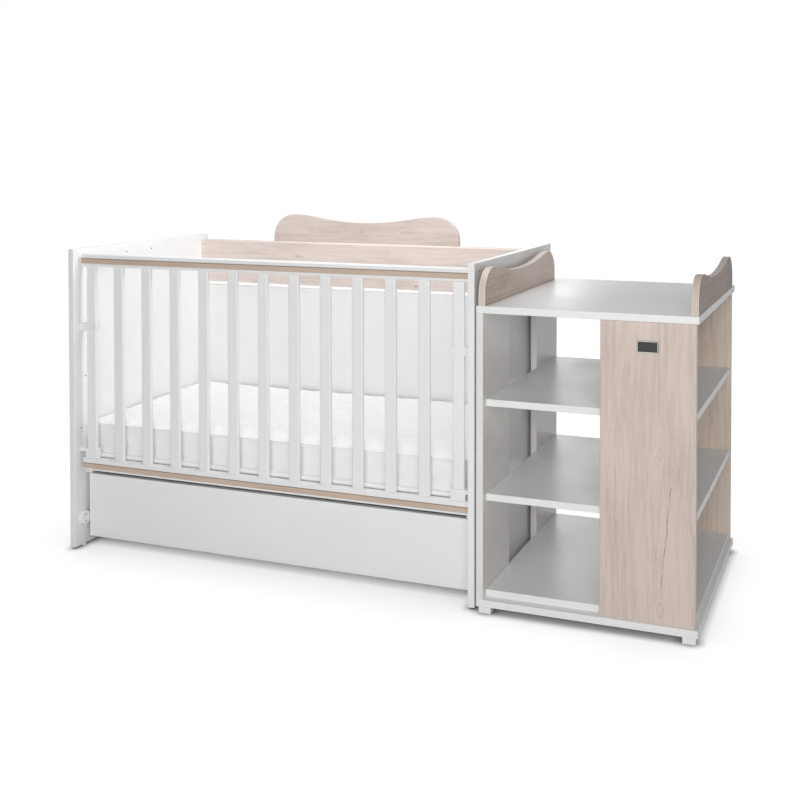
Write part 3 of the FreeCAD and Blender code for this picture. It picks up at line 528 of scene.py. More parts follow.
class Grain(Enum):
    """How the grain runs: the part's axes that lie along it, across it and through the board."""

    UPRIGHT = (2, 0, 1)
    LENGTHWAYS = (0, 2, 1)
    FRONT_TO_BACK = (1, 2, 0)
    LATH = (1, 0, 2)


class Facing(Enum):
    """The axis that a board's two large faces look along."""

    SIDE = (1.0, 0.0, 0.0)
    FRONT = (0.0, 1.0, 0.0)
    TOP = (0.0, 0.0, 1.0)


class Surface(Graph):
    """The graph of one material, with its Principled shader."""

    def __init__(self, name: str) -> None:
        """Starts a material of this name.

        Args:
            name: The material's name.
        """
        self.material = bpy.data.materials.new(name)
        self.material.use_nodes = True
        super().__init__(self.material.node_tree)
        self.shader = self.tree.nodes["Principled BSDF"]

    def along(self, grain: Grain) -> Socket:
        """The place on the piece, on a board's own axes."""
        parts = self.split(self.place())
        return self.join(*[parts[i] for i in grain.value])

    def edge(self, facing: Facing) -> Socket:
        """One on a board's edges and zero on its two faces."""
        normal = self.node("NewGeometry")["Normal"]
        return self.effect(EFFECTS.edge, Normal=normal, Facing=facing.value)["Edge"]

    def smudged(self, between: Pair) -> Socket:
        """A value between two numbers that follows the smudges of handling."""
        smudge = self.effect(EFFECTS.handling, Vector=self.place())["Smudge"]
        return self.span(smudge, *between)

    def attribute(self, name: str) -> Socket:
        """A value that the mesh carries."""
        return self.node("Attribute", attribute_name=name)["Fac"]

    def fix(self, values: dict[str, float]) -> None:
        """Sets shader values that are the same all over."""
        for key, value in values.items():
            self.shader.inputs[key].default_value = value

    def show(self, colour: Socket, roughness: Socket, height: Socket, relief: Pair) -> Material:
        """Feeds the shader what varies over the surface.

        Args:
            colour: The base colour.
            roughness: The roughness.
            height: The height of the fine relief, from 0 to 1.
            relief: The relief's depth in metres, and its strength.

        Returns:
            The finished material.
        """
        bump = {"Height": height, "Distance": relief[0], "Strength": relief[1]}
        normal = self.node("Bump", bump)["Normal"]
        for key, value in (("Base Color", colour), ("Roughness", roughness), ("Normal", normal)):
            self.feed(self.shader.inputs[key], value)
        return self.material


@dataclass(frozen=True)
class Crack:
    """A dark line in the decor: where it starts and ends along the grain, and where it lies across it."""

    start: float
    end: float
    across: float
    lean: float
    width: float
    depth: float

    def draw(self, surface: Surface, vector: Socket) -> tuple[Socket, Socket]:
        """Draws the line.

        Args:
            surface: The material's graph.
            vector: The place on the board's own axes.

        Returns:
            The same place, and how dark the line is.
        """
        mask = surface.effect(
            EFFECTS.crack, Vector=vector, Start=self.start, End=self.end, Across=self.across,
            Lean=self.lean, Width=self.width,
        )["Mask"]
        return vector, surface.times(mask, self.depth)


@dataclass(frozen=True)
class Swirl:
    """A spot that the grain flows round, darkest in its middle."""

    along: float
    across: float
    length: float
    breadth: float
    depth: float
    core: float = 1.0
    falloff: float = 3.0
    arc_share: float = 0.4

    def draw(self, surface: Surface, vector: Socket) -> tuple[Socket, Socket]:
        """Draws the spot.

        Args:
            surface: The material's graph.
            vector: The place on the board's own axes.

        Returns:
            The place, bent round the spot, and how dark the spot is.
        """
        spot = surface.effect(
            EFFECTS.swirl, Vector=vector, Along=self.along, Across=self.across, Length=self.length,
            Breadth=self.breadth,
        )
        middle = surface.math("POWER", spot["Mask"], self.falloff)
        arcs = (spot["Arcs"], self.depth * self.arc_share)
        return spot["Vector"], surface.total((middle, self.depth * self.core), arcs)


@dataclass(frozen=True)
class WoodDecor:
    """Printed wood decor on a board, with pale edge banding that shows a thin line at each face."""

    node: str
    grain: Grain
    facing: Facing
    seed: float
    marks: tuple[Swirl | Crack, ...] = ()
    pale: Colour = (0.672, 0.572, 0.516)
    deep: Colour = (0.555, 0.452, 0.395)
    mark: Colour = (0.27, 0.20, 0.16)
    banding: Colour = (0.735, 0.645, 0.58)
    line: Colour = (0.80, 0.765, 0.735)
    line_width: float = 0.0016
    line_ease: float = 1.4
    line_share: float = 0.8
    banding_grain: float = 0.55
    pore_share: float = 0.13
    tones: Pair = (0.36, 0.58)
    shine: float = 0.5
    roughness: Pair = (0.44, 0.56)
    relief: Pair = (0.00018, 0.35)

    def rim(self, surface: Surface) -> Socket:
        """One in the thin lines where the banding meets the board's faces.

        Args:
            surface: The material's graph.

        Returns:
            The lines' mask.
        """
        through = self.grain.value[2]
        low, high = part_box(self.node)
        half = (high[through] - low[through]) / 2
        place = surface.split(surface.place())[through]
        off = surface.math("ABSOLUTE", surface.less(place, low[through] + half))
        return surface.step(off, half - self.line_width * self.line_ease, half - self.line_width)

    def material(self) -> Material:
        """Makes the finish.

        Returns:
            The finish as a material.
        """
        surface = Surface(self.node + "_decor")
        vector = surface.along(self.grain)
        shades = []
        for mark in self.marks:
            vector, shade = mark.draw(surface, vector)
            shades.append((shade, 1.0))
        wood = surface.effect(EFFECTS.wood, Vector=vector, Seed=self.seed)
        colour = surface.blend(surface.step(wood["Tone"], *self.tones), self.deep, self.pale)
        colour = surface.blend(surface.times(wood["Pores"], self.pore_share), colour, self.mark)
        if shades:
            dark = surface.math("MINIMUM", surface.total(*shades), 1.0)
            colour = surface.blend(dark, colour, self.mark)
        strip = surface.blend(surface.span(wood["Tone"], 0.0, self.banding_grain), self.banding, self.deep)
        strip = surface.blend(surface.times(self.rim(surface), self.line_share), strip, self.line)
        colour = surface.blend(surface.edge(self.facing), colour, strip)
        surface.fix({"Specular IOR Level": self.shine})
        return surface.show(colour, surface.smudged(self.roughness), wood["Height"], self.relief)


@dataclass(frozen=True)
class RawWood:
    """Bare planed timber of laths and dowels."""

    name: str
    grain: Grain
    seed: float
    pale: Colour = (0.83, 0.73, 0.58)
    deep: Colour = (0.70, 0.58, 0.43)
    tones: Pair = (0.30, 0.68)
    pore_share: float = 0.25
    roughness: Pair = (0.78, 0.55)
    relief: Pair = (0.0004, 0.5)

    def material(self) -> Material:
        """Makes the finish.

        Returns:
            The finish as a material.
        """
        surface = Surface(self.name)
        wood = surface.effect(EFFECTS.wood, Vector=surface.along(self.grain), Seed=self.seed)
        colour = surface.blend(surface.step(wood["Tone"], *self.tones), self.deep, self.pale)
        colour = surface.blend(surface.times(wood["Pores"], self.pore_share), colour, self.deep)
        return surface.show(colour, surface.span(wood["Tone"], *self.roughness), wood["Height"], self.relief)


@dataclass(frozen=True)
class DecorStrip:
    """The brown strip let into a gate rail, with a thin darker line of painted shade along its upper edge,
    where the groove's shade falls.
    """

    node: str
    seed: float = 4.2
    pale: Colour = (0.62, 0.50, 0.41)
    deep: Colour = (0.50, 0.385, 0.305)
    # Painted shade: the colour of the dark line in the groove at the strip's upper edge.
    line: Colour = (0.30, 0.225, 0.17)
    groove_shade_height: float = 0.0022
    line_ease: float = 1.3
    tones: Pair = (0.34, 0.66)
    roughness: Pair = (0.58, 0.46)
    relief: Pair = (0.00015, 0.3)

    def material(self) -> Material:
        """Makes the finish.

        Returns:
            The finish as a material.
        """
        surface = Surface(self.node + "_decor")
        wood = surface.effect(EFFECTS.wood, Vector=surface.along(Grain.LENGTHWAYS), Seed=self.seed)
        colour = surface.blend(surface.step(wood["Tone"], *self.tones), self.deep, self.pale)
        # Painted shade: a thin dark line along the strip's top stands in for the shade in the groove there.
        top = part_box(self.node)[1].z
        height = surface.split(surface.place())[2]
        line = surface.step(height, top - self.groove_shade_height * self.line_ease, top - self.groove_shade_height)
        colour = surface.blend(line, colour, self.line)
        return surface.show(colour, surface.span(wood["Tone"], *self.roughness), wood["Height"], self.relief)


@dataclass(frozen=True)
class Coated:
    """A pressed coating or a moulding: a pearl of its own size, clouds of tone and faint smudges."""

    name: str
    pale: Colour
    deep: Colour
    pearls: float
    pearl_depth: float
    roughness: Pair
    coat: float = 0.0
    coat_roughness: float = 0.25
    # Colour of bored holes' walls: the board's core, darkened as painted shade of the holes.
    core: Colour = (0.30, 0.235, 0.175)
    tones: Pair = (0.30, 0.70)
    pearl_strength: float = 0.5

    def material(self) -> Material:
        """Makes the finish.

        Returns:
            The finish as a material, which shows a dark core colour in bored holes: partly the board's own
            core, partly painted shade.
        """
        surface = Surface(self.name)
        skin = surface.effect(EFFECTS.skin, Vector=surface.place(), Pearls=self.pearls)
        colour = surface.blend(surface.step(skin["Tone"], *self.tones), self.deep, self.pale)
        # Partly real and partly painted shade: the holes' walls show a core colour darker than a board's
        # core.
        colour = surface.blend(surface.attribute(BORED), colour, self.core)
        surface.fix({"Coat Weight": self.coat, "Coat Roughness": self.coat_roughness})
        relief = (self.pearl_depth, self.pearl_strength)
        return surface.show(colour, surface.smudged(self.roughness), skin["Height"], relief)


@dataclass(frozen=True)
class PlatedSteel:
    """Zinc-plated steel with cloudy bloom and fine drawing lines."""

    name: str
    pale: Colour = (0.50, 0.50, 0.51)
    deep: Colour = (0.36, 0.365, 0.38)
    lines: Triple = (900.0, 60.0, 900.0)
    bloom: float = 260.0
    bloom_share: float = 0.6
    tones: Pair = (0.3, 0.7)
    roughness: Pair = (0.46, 0.28)
    relief: Pair = (0.00005, 0.4)

    def material(self) -> Material:
        """Makes the finish.

        Returns:
            The finish as a material.
        """
        surface = Surface(self.name)
        place = surface.place()
        skin = surface.effect(EFFECTS.skin, Vector=place, Pearls=self.bloom)
        drawn = surface.noise(place, self.lines)
        tone = surface.total((skin["Tone"], self.bloom_share), (drawn, 1.0 - self.bloom_share))
        colour = surface.blend(surface.step(tone, *self.tones), self.deep, self.pale)
        surface.fix({"Metallic": 1.0})
        return surface.show(colour, surface.span(tone, *self.roughness), drawn, self.relief)


@dataclass(frozen=True)
class KnitCover:
    """The mattress's white knit, greyer along its stitched channels as painted shade and paler on its sides
    as painted light.
    """

    name: str
    pale: Colour = (0.87, 0.87, 0.865)
    deep: Colour = (0.79, 0.79, 0.785)
    # Painted light: the colour and share that paint the sides paler than the top.
    border: Colour = (0.91, 0.91, 0.91)
    side_light_share: float = 0.85
    # Painted shade: the grey and its share in the stitched channels.
    stitch: Colour = (0.70, 0.70, 0.70)
    stitch_shade_share: float = 0.16
    loops: float = 480.0
    sheen: float = 0.25
    sheen_roughness: float = 0.5
    roughness: Pair = (0.95, 0.82)
    relief: Pair = (0.0005, 0.5)

    def material(self) -> Material:
        """Makes the finish.

        Returns:
            The finish as a material.
        """
        surface = Surface(self.name)
        knit = surface.effect(EFFECTS.knit, Vector=surface.place(), Loops=self.loops)
        colour = surface.blend(knit["Tone"], self.deep, self.pale)
        # Painted light: faces that look neither up nor down are painted paler.
        side = surface.edge(Facing.TOP)
        colour = surface.blend(surface.times(side, self.side_light_share), colour, self.border)
        # Painted shade: the channels are greyed most where they sink deepest.
        channel_shade = surface.attribute(STITCH_SHADE)
        colour = surface.blend(surface.times(channel_shade, self.stitch_shade_share), colour, self.stitch)
        surface.fix({"Sheen Weight": self.sheen, "Sheen Roughness": self.sheen_roughness})
        height = knit["Height"]
        return surface.show(colour, surface.span(height, *self.roughness), height, self.relief)


def grey(value: float) -> Colour:
    """An even grey."""
    return (value, value, value)


@dataclass
class Finishes:
    """The finishes that several sub-assemblies share."""

    white: Material
    shaded_white: Material
    lacquer: Material
    plastic: Material
    nylon: Material
    hardboard: Material
    steel: Material
    runner_steel: Material
    cover: Material
    piping: Material
    badge: Material
    border: Material

    @classmethod
    def mix(cls) -> "Finishes":
        """Mixes every shared finish.

        Returns:
            The finishes.
        """
        satin = (0.36, 0.47)
        # Painted shade: the uprights get a darker, warmer copy of the white board, standing in for the shade
        # on them.
        upright_shade_tones = ((0.79, 0.77, 0.74), (0.77, 0.75, 0.72))
        paper = ((0.83, 0.83, 0.82), (0.77, 0.77, 0.755))
        black = ((0.030, 0.030, 0.032), (0.018, 0.018, 0.020))
        rolled = (600.0, 12.0, 600.0)
        recipes = {
            "white": Coated("white_board", grey(0.855), grey(0.835), 1500.0, 0.00006, satin),
            # Painted shade: the same white board, darkened for the uprights.
            "shaded_white": Coated("shaded_white_board", *upright_shade_tones, 1500.0, 0.00006, satin),
            "lacquer": Coated("white_lacquer", grey(0.86), grey(0.84), 700.0, 0.00004, (0.30, 0.40)),
            "plastic": Coated("white_plastic", grey(0.86), grey(0.83), 2200.0, 0.00005, (0.24, 0.36), 0.3),
            "nylon": Coated("nylon", (0.78, 0.78, 0.74), (0.70, 0.70, 0.66), 900.0, 0.00008, (0.38, 0.52)),
            "hardboard": Coated("white_hardboard", *paper, 500.0, 0.00015, (0.5, 0.62)),
            "steel": PlatedSteel("plated_steel"),
            "runner_steel": PlatedSteel("runner_steel", grey(0.78), (0.64, 0.64, 0.65), rolled),
            "cover": KnitCover("knit_cover"),
            "piping": KnitCover("piping_knit", deep=(0.80, 0.80, 0.795), loops=620.0),
            "badge": Coated("badge_black", *black, 1200.0, 0.00004, (0.22, 0.36)),
            "border": PlatedSteel("badge_border", (0.74, 0.73, 0.71), (0.60, 0.59, 0.57)),
        }
        return cls(**{key: recipe.material() for key, recipe in recipes.items()})


def dress(material: Material, *nodes: str) -> None:
    """Gives one finish to nodes of the frame.

    Args:
        material: The finish.
        nodes: The nodes' names.
    """
    for name in nodes:
        slots = frame["nodes"][name].data.materials
        slots.clear()
        slots.append(material)
    log.info("%s on %d nodes", material.name, len(nodes))


def mark_bored(node: str, depth: float = 0.0015) -> None:
    """Marks the faces inside a board, which are the walls of its bored holes.

    Args:
        node: A box-shaped board of the frame.
        depth: How far inside the board's box such a face lies.
    """
    mesh = frame["nodes"][node].data
    low, high = (np.array(corner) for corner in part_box(node))
    flat = np.empty(len(mesh.polygons) * 3)
    mesh.polygons.foreach_get("center", flat)
    middles = flat.reshape(-1, 3)
    inside = np.minimum(middles - low, high - middles).min(axis=1) > depth
    marks = mesh.attributes.new(BORED, "FLOAT", "FACE")
    marks.data.foreach_set("value", inside.astype(np.float32))


def slot_nodes(slot: str) -> list[str]:
    """The frame's nodes in one material slot of the record."""
    return [p["node"] for p in frame["record"]["subparts"] if p["material_slot"] == slot]


# Screws and bolts

class Recess(Enum):
    """The hole in a screw's head that the driver fits: its number of arms."""

    CROSS = 2
    HEXAGON = 3


@dataclass
class ScrewSeat:
    """One screw of the frame: the middle of its head, the way it points and its sizes."""

    head: Vector
    axis: Vector
    length: float
    head_radius: float
    shank_radius: float
    head_height: float


@dataclass
class Fasteners:
    """Screws and bolts with a driver recess, set where the frame has its plain ones."""

    sides: int = 24
    recess_share: float = 0.58
    recess_taper: float = 0.62
    arm_share: float = 0.26
    depth_share: float = 0.62
    tip_share: float = 0.12
    tip_taper: float = 0.35
    rim_share: float = 0.08
    dome_share: float = 0.01
    smooth_angle: float = 35.0
    end_band: float = 0.02
    head_band: float = 0.01
    shank_slack: float = 1.05

    def seats(self, node: str) -> list[ScrewSeat]:
        """Measures every screw of a node.

        Args:
            node: A node that is a group of screws.

        Returns:
            One seat for each screw.
        """
        copy = add_object(node + "_measured", frame["nodes"][node].data.copy())
        with editing(copy):
            bpy.ops.mesh.select_all(action="SELECT")
            bpy.ops.mesh.remove_doubles(threshold=WELD)
            bpy.ops.mesh.separate(type="LOOSE")
        found = []
        for single in list(bpy.context.selected_objects):
            found.append(self.measure(np.array([v.co for v in single.data.vertices])))
            bpy.data.objects.remove(single)
        return found

    def measure(self, points: np.ndarray) -> ScrewSeat:
        """Measures one screw.

        Args:
            points: Its corner points, one in each row.

        Returns:
            Its seat.
        """
        low, high = points.min(0), points.max(0)
        run = int(np.argmax(high - low))
        middle = (low + high) / 2
        radii = np.linalg.norm(np.delete(points - middle, run, 1), axis=1)
        length = float(high[run] - low[run])
        near_low = radii[points[:, run] < low[run] + length * self.end_band].max()
        near_high = radii[points[:, run] > high[run] - length * self.end_band].max()
        sign = 1.0 if near_low > near_high else -1.0
        head = middle.copy()
        head[run] = low[run] if sign > 0 else high[run]
        axis = np.zeros(3)
        axis[run] = sign
        shank = float(min(near_low, near_high))
        deep = np.abs(points[:, run] - head[run])[radii < shank * self.shank_slack]
        head_height = float(deep[deep > length * self.head_band].min())
        return ScrewSeat(
            Vector(head), Vector(axis), length, float(max(near_low, near_high)), shank, head_height,
        )

    def model(self, seat: ScrewSeat, recess: Recess) -> Piece:
        """Models one screw with its head at the origin and its tip up +Z.

        Args:
            seat: The sizes to follow.
            recess: The hole in its head.

        Returns:
            The screw.
        """
        tip = seat.length * self.tip_share
        shank = seat.length - seat.head_height - tip
        bpy.ops.object.select_all(action="DESELECT")
        bpy.ops.mesh.primitive_cylinder_add(
            vertices=self.sides, radius=seat.shank_radius, depth=shank,
            location=(0.0, 0.0, seat.head_height + shank / 2),
        )
        screw = settle(bpy.context.object, "screw_model")
        with editing(screw):
            select_faces(screw, looks_up)
            extrude((0.0, 0.0, tip))
            taper(self.tip_taper, seat.length)
        with editing(screw):
            select_faces(screw, looks_down)
            extrude((0.0, 0.0, -seat.head_height))
            taper(seat.head_radius / seat.shank_radius, 0.0)
            bpy.ops.mesh.inset(thickness=seat.head_radius * self.rim_share)
            bpy.ops.transform.translate(value=(0.0, 0.0, -seat.head_radius * self.dome_share))
        cutter = self.model_recess(seat, recess)
        apply_modifier(screw, "BOOLEAN", operation="DIFFERENCE", object=cutter, solver="EXACT")
        bpy.data.objects.remove(cutter)
        pick(screw)
        bpy.ops.object.shade_smooth_by_angle(angle=math.radians(self.smooth_angle))
        return screw

    def model_recess(self, seat: ScrewSeat, recess: Recess) -> Piece:
        """Models the tapered tool that cuts a head's recess.

        Args:
            seat: The screw's sizes.
            recess: The recess's kind.

        Returns:
            The tool, round the screw's axis.
        """
        reach = seat.head_radius * self.recess_share
        depth = seat.head_height * self.depth_share
        breadth = reach * self.arm_share if recess is Recess.CROSS else reach / math.sqrt(3.0)
        arms = []
        bpy.ops.object.select_all(action="DESELECT")
        for i in range(recess.value):
            bpy.ops.mesh.primitive_cube_add(size=2.0, rotation=(0.0, 0.0, math.pi * i / recess.value))
            arm = bpy.context.object
            arm.scale = (reach, breadth, depth)
            arms.append(settle(arm, "recess_arm"))
        tool = arms[0]
        for other in arms[1:]:
            apply_modifier(tool, "BOOLEAN", operation="UNION", object=other, solver="EXACT")
            bpy.data.objects.remove(other)
        with editing(tool):
            select_faces(tool, looks_up)
            taper(self.recess_taper, depth)
        return tool

    def build(self, node: str, name: str, body: str, recess: Recess, material: Material) -> None:
        """Sets modelled screws where a node has its plain ones.

        Args:
            node: The node that they stand for.
            name: The new piece's name.
            body: The body that they move with.
            recess: The hole in their heads.
            material: Their finish.
        """
        models: dict[Pair, Piece] = {}
        copies = []
        for seat in self.seats(node):
            key = (round(seat.length, 4), round(seat.head_radius, 5))
            if key not in models:
                models[key] = self.model(seat, recess)
            mesh = models[key].data.copy()
            turn = Vector((0.0, 0.0, 1.0)).rotation_difference(seat.axis).to_matrix().to_4x4()
            mesh.transform(Matrix.Translation(seat.head) @ turn)
            copies.append(add_object(name, mesh))
        for model in models.values():
            bpy.data.objects.remove(model)
        pick(*copies)
        bpy.ops.object.join()
        piece = settle(bpy.context.object, name)
        place_in_part(piece, body, material)
        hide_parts(node)


# Sub-assemblies

@dataclass
class CribFrame:
    """The crib's fixed boards, back, base and fittings."""

    boards: tuple[str, ...] = (
        "left_end_panel", "right_end_panel", "back_panel", "base_front_rail", "base_rear_rail",
        "left_base_cleat", "right_base_cleat",
    )
    bored: tuple[str, ...] = ("left_end_panel", "right_end_panel")
    dowels: tuple[str, ...] = ("cabinet_dowels", "drawer_dowels", "rail_dowels")
    decors: tuple[WoodDecor, ...] = (
        WoodDecor(
            "back_top_rail", Grain.LENGTHWAYS, Facing.FRONT, 1.7,
            marks=(
                Swirl(-0.086, 0.7335, 0.014, 0.007, 0.95),
                Swirl(-0.51, 0.816, 0.05, 0.012, 0.35),
                Swirl(0.08, 0.80, 0.09, 0.02, 0.16),
                Crack(-0.72, -0.40, 0.806, 0.012, 0.0018, 0.35),
            ),
            pale=(0.745, 0.652, 0.607), deep=(0.625, 0.532, 0.487),
        ),
        WoodDecor(
            "headboard_crest", Grain.LENGTHWAYS, Facing.FRONT, 5.3,
            marks=(
                Swirl(-0.284, 0.903, 0.035, 0.018, 0.40),
                Swirl(-0.125, 0.9035, 0.075, 0.016, 0.28),
                Swirl(-0.43, 0.906, 0.06, 0.03, 0.14),
            ),
            pale=(0.62, 0.54, 0.50), deep=(0.50, 0.42, 0.38),
        ),
    )
    lath_wood: RawWood = RawWood("lath_wood", Grain.LATH, 2.1)
    dowel_wood: RawWood = RawWood("dowel_wood", Grain.UPRIGHT, 8.8)
    screw_sets: tuple[tuple[str, str, Recess], ...] = (
        ("panel_screws", "fitting_screw_heads", Recess.CROSS),
        ("frame_screws", "frame_screw_heads", Recess.CROSS),
        ("crest_screws", "crest_screw_heads", Recess.CROSS),
        ("link_bolts", "link_bolt_heads", Recess.HEXAGON),
    )

    def dress(self, finishes: Finishes) -> None:
        """Gives the fixed boards of the crib their finishes.

        Args:
            finishes: The shared finishes.
        """
        dress(finishes.white, *self.boards)
        for board in self.bored:
            mark_bored(board)
        for decor in self.decors:
            dress(decor.material(), decor.node)
        dress(self.lath_wood.material(), "base_laths")
        dress(self.dowel_wood.material(), *self.dowels)
        dress(finishes.plastic, *slot_nodes("white_plastic"))

    def build(self, finishes: Finishes, fasteners: Fasteners) -> None:
        """Sets the crib's visible screws."""
        for node, name, recess in self.screw_sets:
            fasteners.build(node, name, "crib", recess, finishes.steel)


@dataclass
class DropGate:
    """The slatted front that slides down."""

    boards: tuple[str, ...] = ("gate_top_rail", "gate_bottom_rail", "gate_slats")
    strips: tuple[str, ...] = ("gate_top_strip", "gate_bottom_strip")

    def dress(self, finishes: Finishes) -> None:
        """Gives the rails, slats and strips their finishes.

        Args:
            finishes: The shared finishes.
        """
        dress(finishes.lacquer, *self.boards)
        for strip in self.strips:
            dress(DecorStrip(strip).material(), strip)


@dataclass
class Drawer:
    """The drawer under the mattress, with its runners and rollers."""

    boards: tuple[str, ...] = ("drawer_front", "drawer_back", "drawer_left_side", "drawer_right_side")
    runners: tuple[str, ...] = (
        "left_runner_track", "right_runner_track", "left_drawer_profile", "right_drawer_profile",
    )

    def dress(self, finishes: Finishes) -> None:
        """Gives the drawer's boards, bottom, runners and rollers their finishes.

        Args:
            finishes: The shared finishes.
        """
        dress(finishes.white, *self.boards)
        dress(finishes.hardboard, "drawer_bottom")
        dress(finishes.nylon, *slot_nodes("nylon"))
        dress(finishes.runner_steel, *self.runners)

    def build(self, finishes: Finishes, fasteners: Fasteners) -> None:
        """Sets the screws in the drawer's back corners."""
        fasteners.build("drawer_screws", "drawer_screw_heads", "drawer", Recess.CROSS, finishes.steel)


@dataclass
class Cabinet:
    """The open changing-table cabinet with its wood panels, wave rails and badge."""

    boards: tuple[str, ...] = (
        "cabinet_top", "cabinet_base", "cabinet_bottom_shelf", "cabinet_lower_shelf", "cabinet_upper_shelf",
    )
    uprights: tuple[str, ...] = ("front_left_upright", "rear_left_upright")
    decors: tuple[WoodDecor, ...] = (
        WoodDecor(
            "front_wood_panel", Grain.UPRIGHT, Facing.FRONT, 3.1,
            marks=(
                Swirl(0.2676, 0.712, 0.0055, 0.0035, 1.0),
                Swirl(0.4423, 0.817, 0.050, 0.024, 0.34, 0.3),
                Swirl(0.0716, 0.819, 0.055, 0.028, 0.32, 0.3),
                Swirl(0.575, 0.769, 0.030, 0.014, 0.20, 0.4),
                Crack(0.10, 0.46, 0.8185, 0.093, 0.0024, 0.85),
                Crack(0.03, 0.60, 0.7055, 0.010, 0.0018, 0.42),
                Crack(0.14, 0.42, 0.8040, 0.075, 0.0017, 0.42),
            ),
        ),
        # Painted light: the same decor as the front panel, painted paler to stand in for light that the rear
        # panel does not get.
        WoodDecor(
            "rear_wood_panel", Grain.UPRIGHT, Facing.FRONT, 9.6,
            pale=(0.79, 0.67, 0.575), deep=(0.62, 0.495, 0.40),
        ),
        WoodDecor(
            "left_wave_rail", Grain.FRONT_TO_BACK, Facing.SIDE, 12.2,
            pale=(0.61, 0.50, 0.425), deep=(0.43, 0.33, 0.27),
        ),
        # Painted shade: the same decor as the left rail, painted much darker for the shade on its side face;
        # its banding is painted paler as painted light on its front edge.
        WoodDecor(
            "right_wave_rail", Grain.FRONT_TO_BACK, Facing.SIDE, 15.9,
            pale=(0.385, 0.295, 0.245), deep=(0.28, 0.20, 0.16), banding=(0.79, 0.695, 0.62), shine=0.12,
        ),
    )
    screw_sets: tuple[tuple[str, str], ...] = (
        ("wave_rail_screws", "wave_rail_screw_heads"), ("cabinet_screws", "base_screw_heads"),
    )
    border_inset: float = 0.0009
    border_width: float = 0.0011
    border_height: float = 0.0005
    border_ease: float = 0.00015
    border_segments: int = 2

    def dress(self, finishes: Finishes) -> None:
        """Gives the cabinet's boards, rails and badge their finishes.

        Args:
            finishes: The shared finishes.
        """
        dress(finishes.white, *self.boards)
        # Painted shade: the uprights are white board like the rest, dressed in its darker copy.
        dress(finishes.shaded_white, *self.uprights)
        for decor in self.decors:
            dress(decor.material(), decor.node)
        dress(finishes.badge, "badge_plate")
        dress(finishes.steel, "cam_locks")

    def build(self, finishes: Finishes, fasteners: Fasteners) -> None:
        """Sets the screws under the boards and models the badge's border.

        Args:
            finishes: The shared finishes.
            fasteners: The maker of the screws.
        """
        for node, name in self.screw_sets:
            fasteners.build(node, name, "crib", Recess.CROSS, finishes.steel)
        self.build_badge_border(finishes.border)

    def build_badge_border(self, material: Material) -> None:
        """Models the thin raised border on the blank badge plate.

        Args:
            material: The border's finish.
        """
        low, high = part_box("badge_plate")
        middle = (low + high) / 2
        size = high - low
        bpy.ops.object.select_all(action="DESELECT")
        bpy.ops.mesh.primitive_plane_add(
            size=1.0, location=(middle.x, low.y, middle.z), rotation=(math.pi / 2, 0.0, 0.0),
        )
        border = bpy.context.object
        border.scale = (size.x - self.border_inset * 2, size.z - self.border_inset * 2, 1.0)
        settle(border, "badge_border")
        with editing(border):
            bpy.ops.mesh.select_all(action="SELECT")
            bpy.ops.mesh.inset(thickness=self.border_width)
            bpy.ops.mesh.delete(type="FACE")
            bpy.ops.mesh.select_all(action="SELECT")
            extrude((0.0, -self.border_height, 0.0))
            bpy.ops.mesh.select_all(action="SELECT")
            bpy.ops.mesh.normals_make_consistent(inside=False)
        apply_modifier(border, "BEVEL", width=self.border_ease, segments=self.border_segments)
        place_in_part(border, "crib", material)


@dataclass(frozen=True)
class Cord:
    """A cord of piping: its radius, its reach past the solid's long sides and its draw between corners."""

    name: str
    radius: float
    side_reach: float
    draw: float


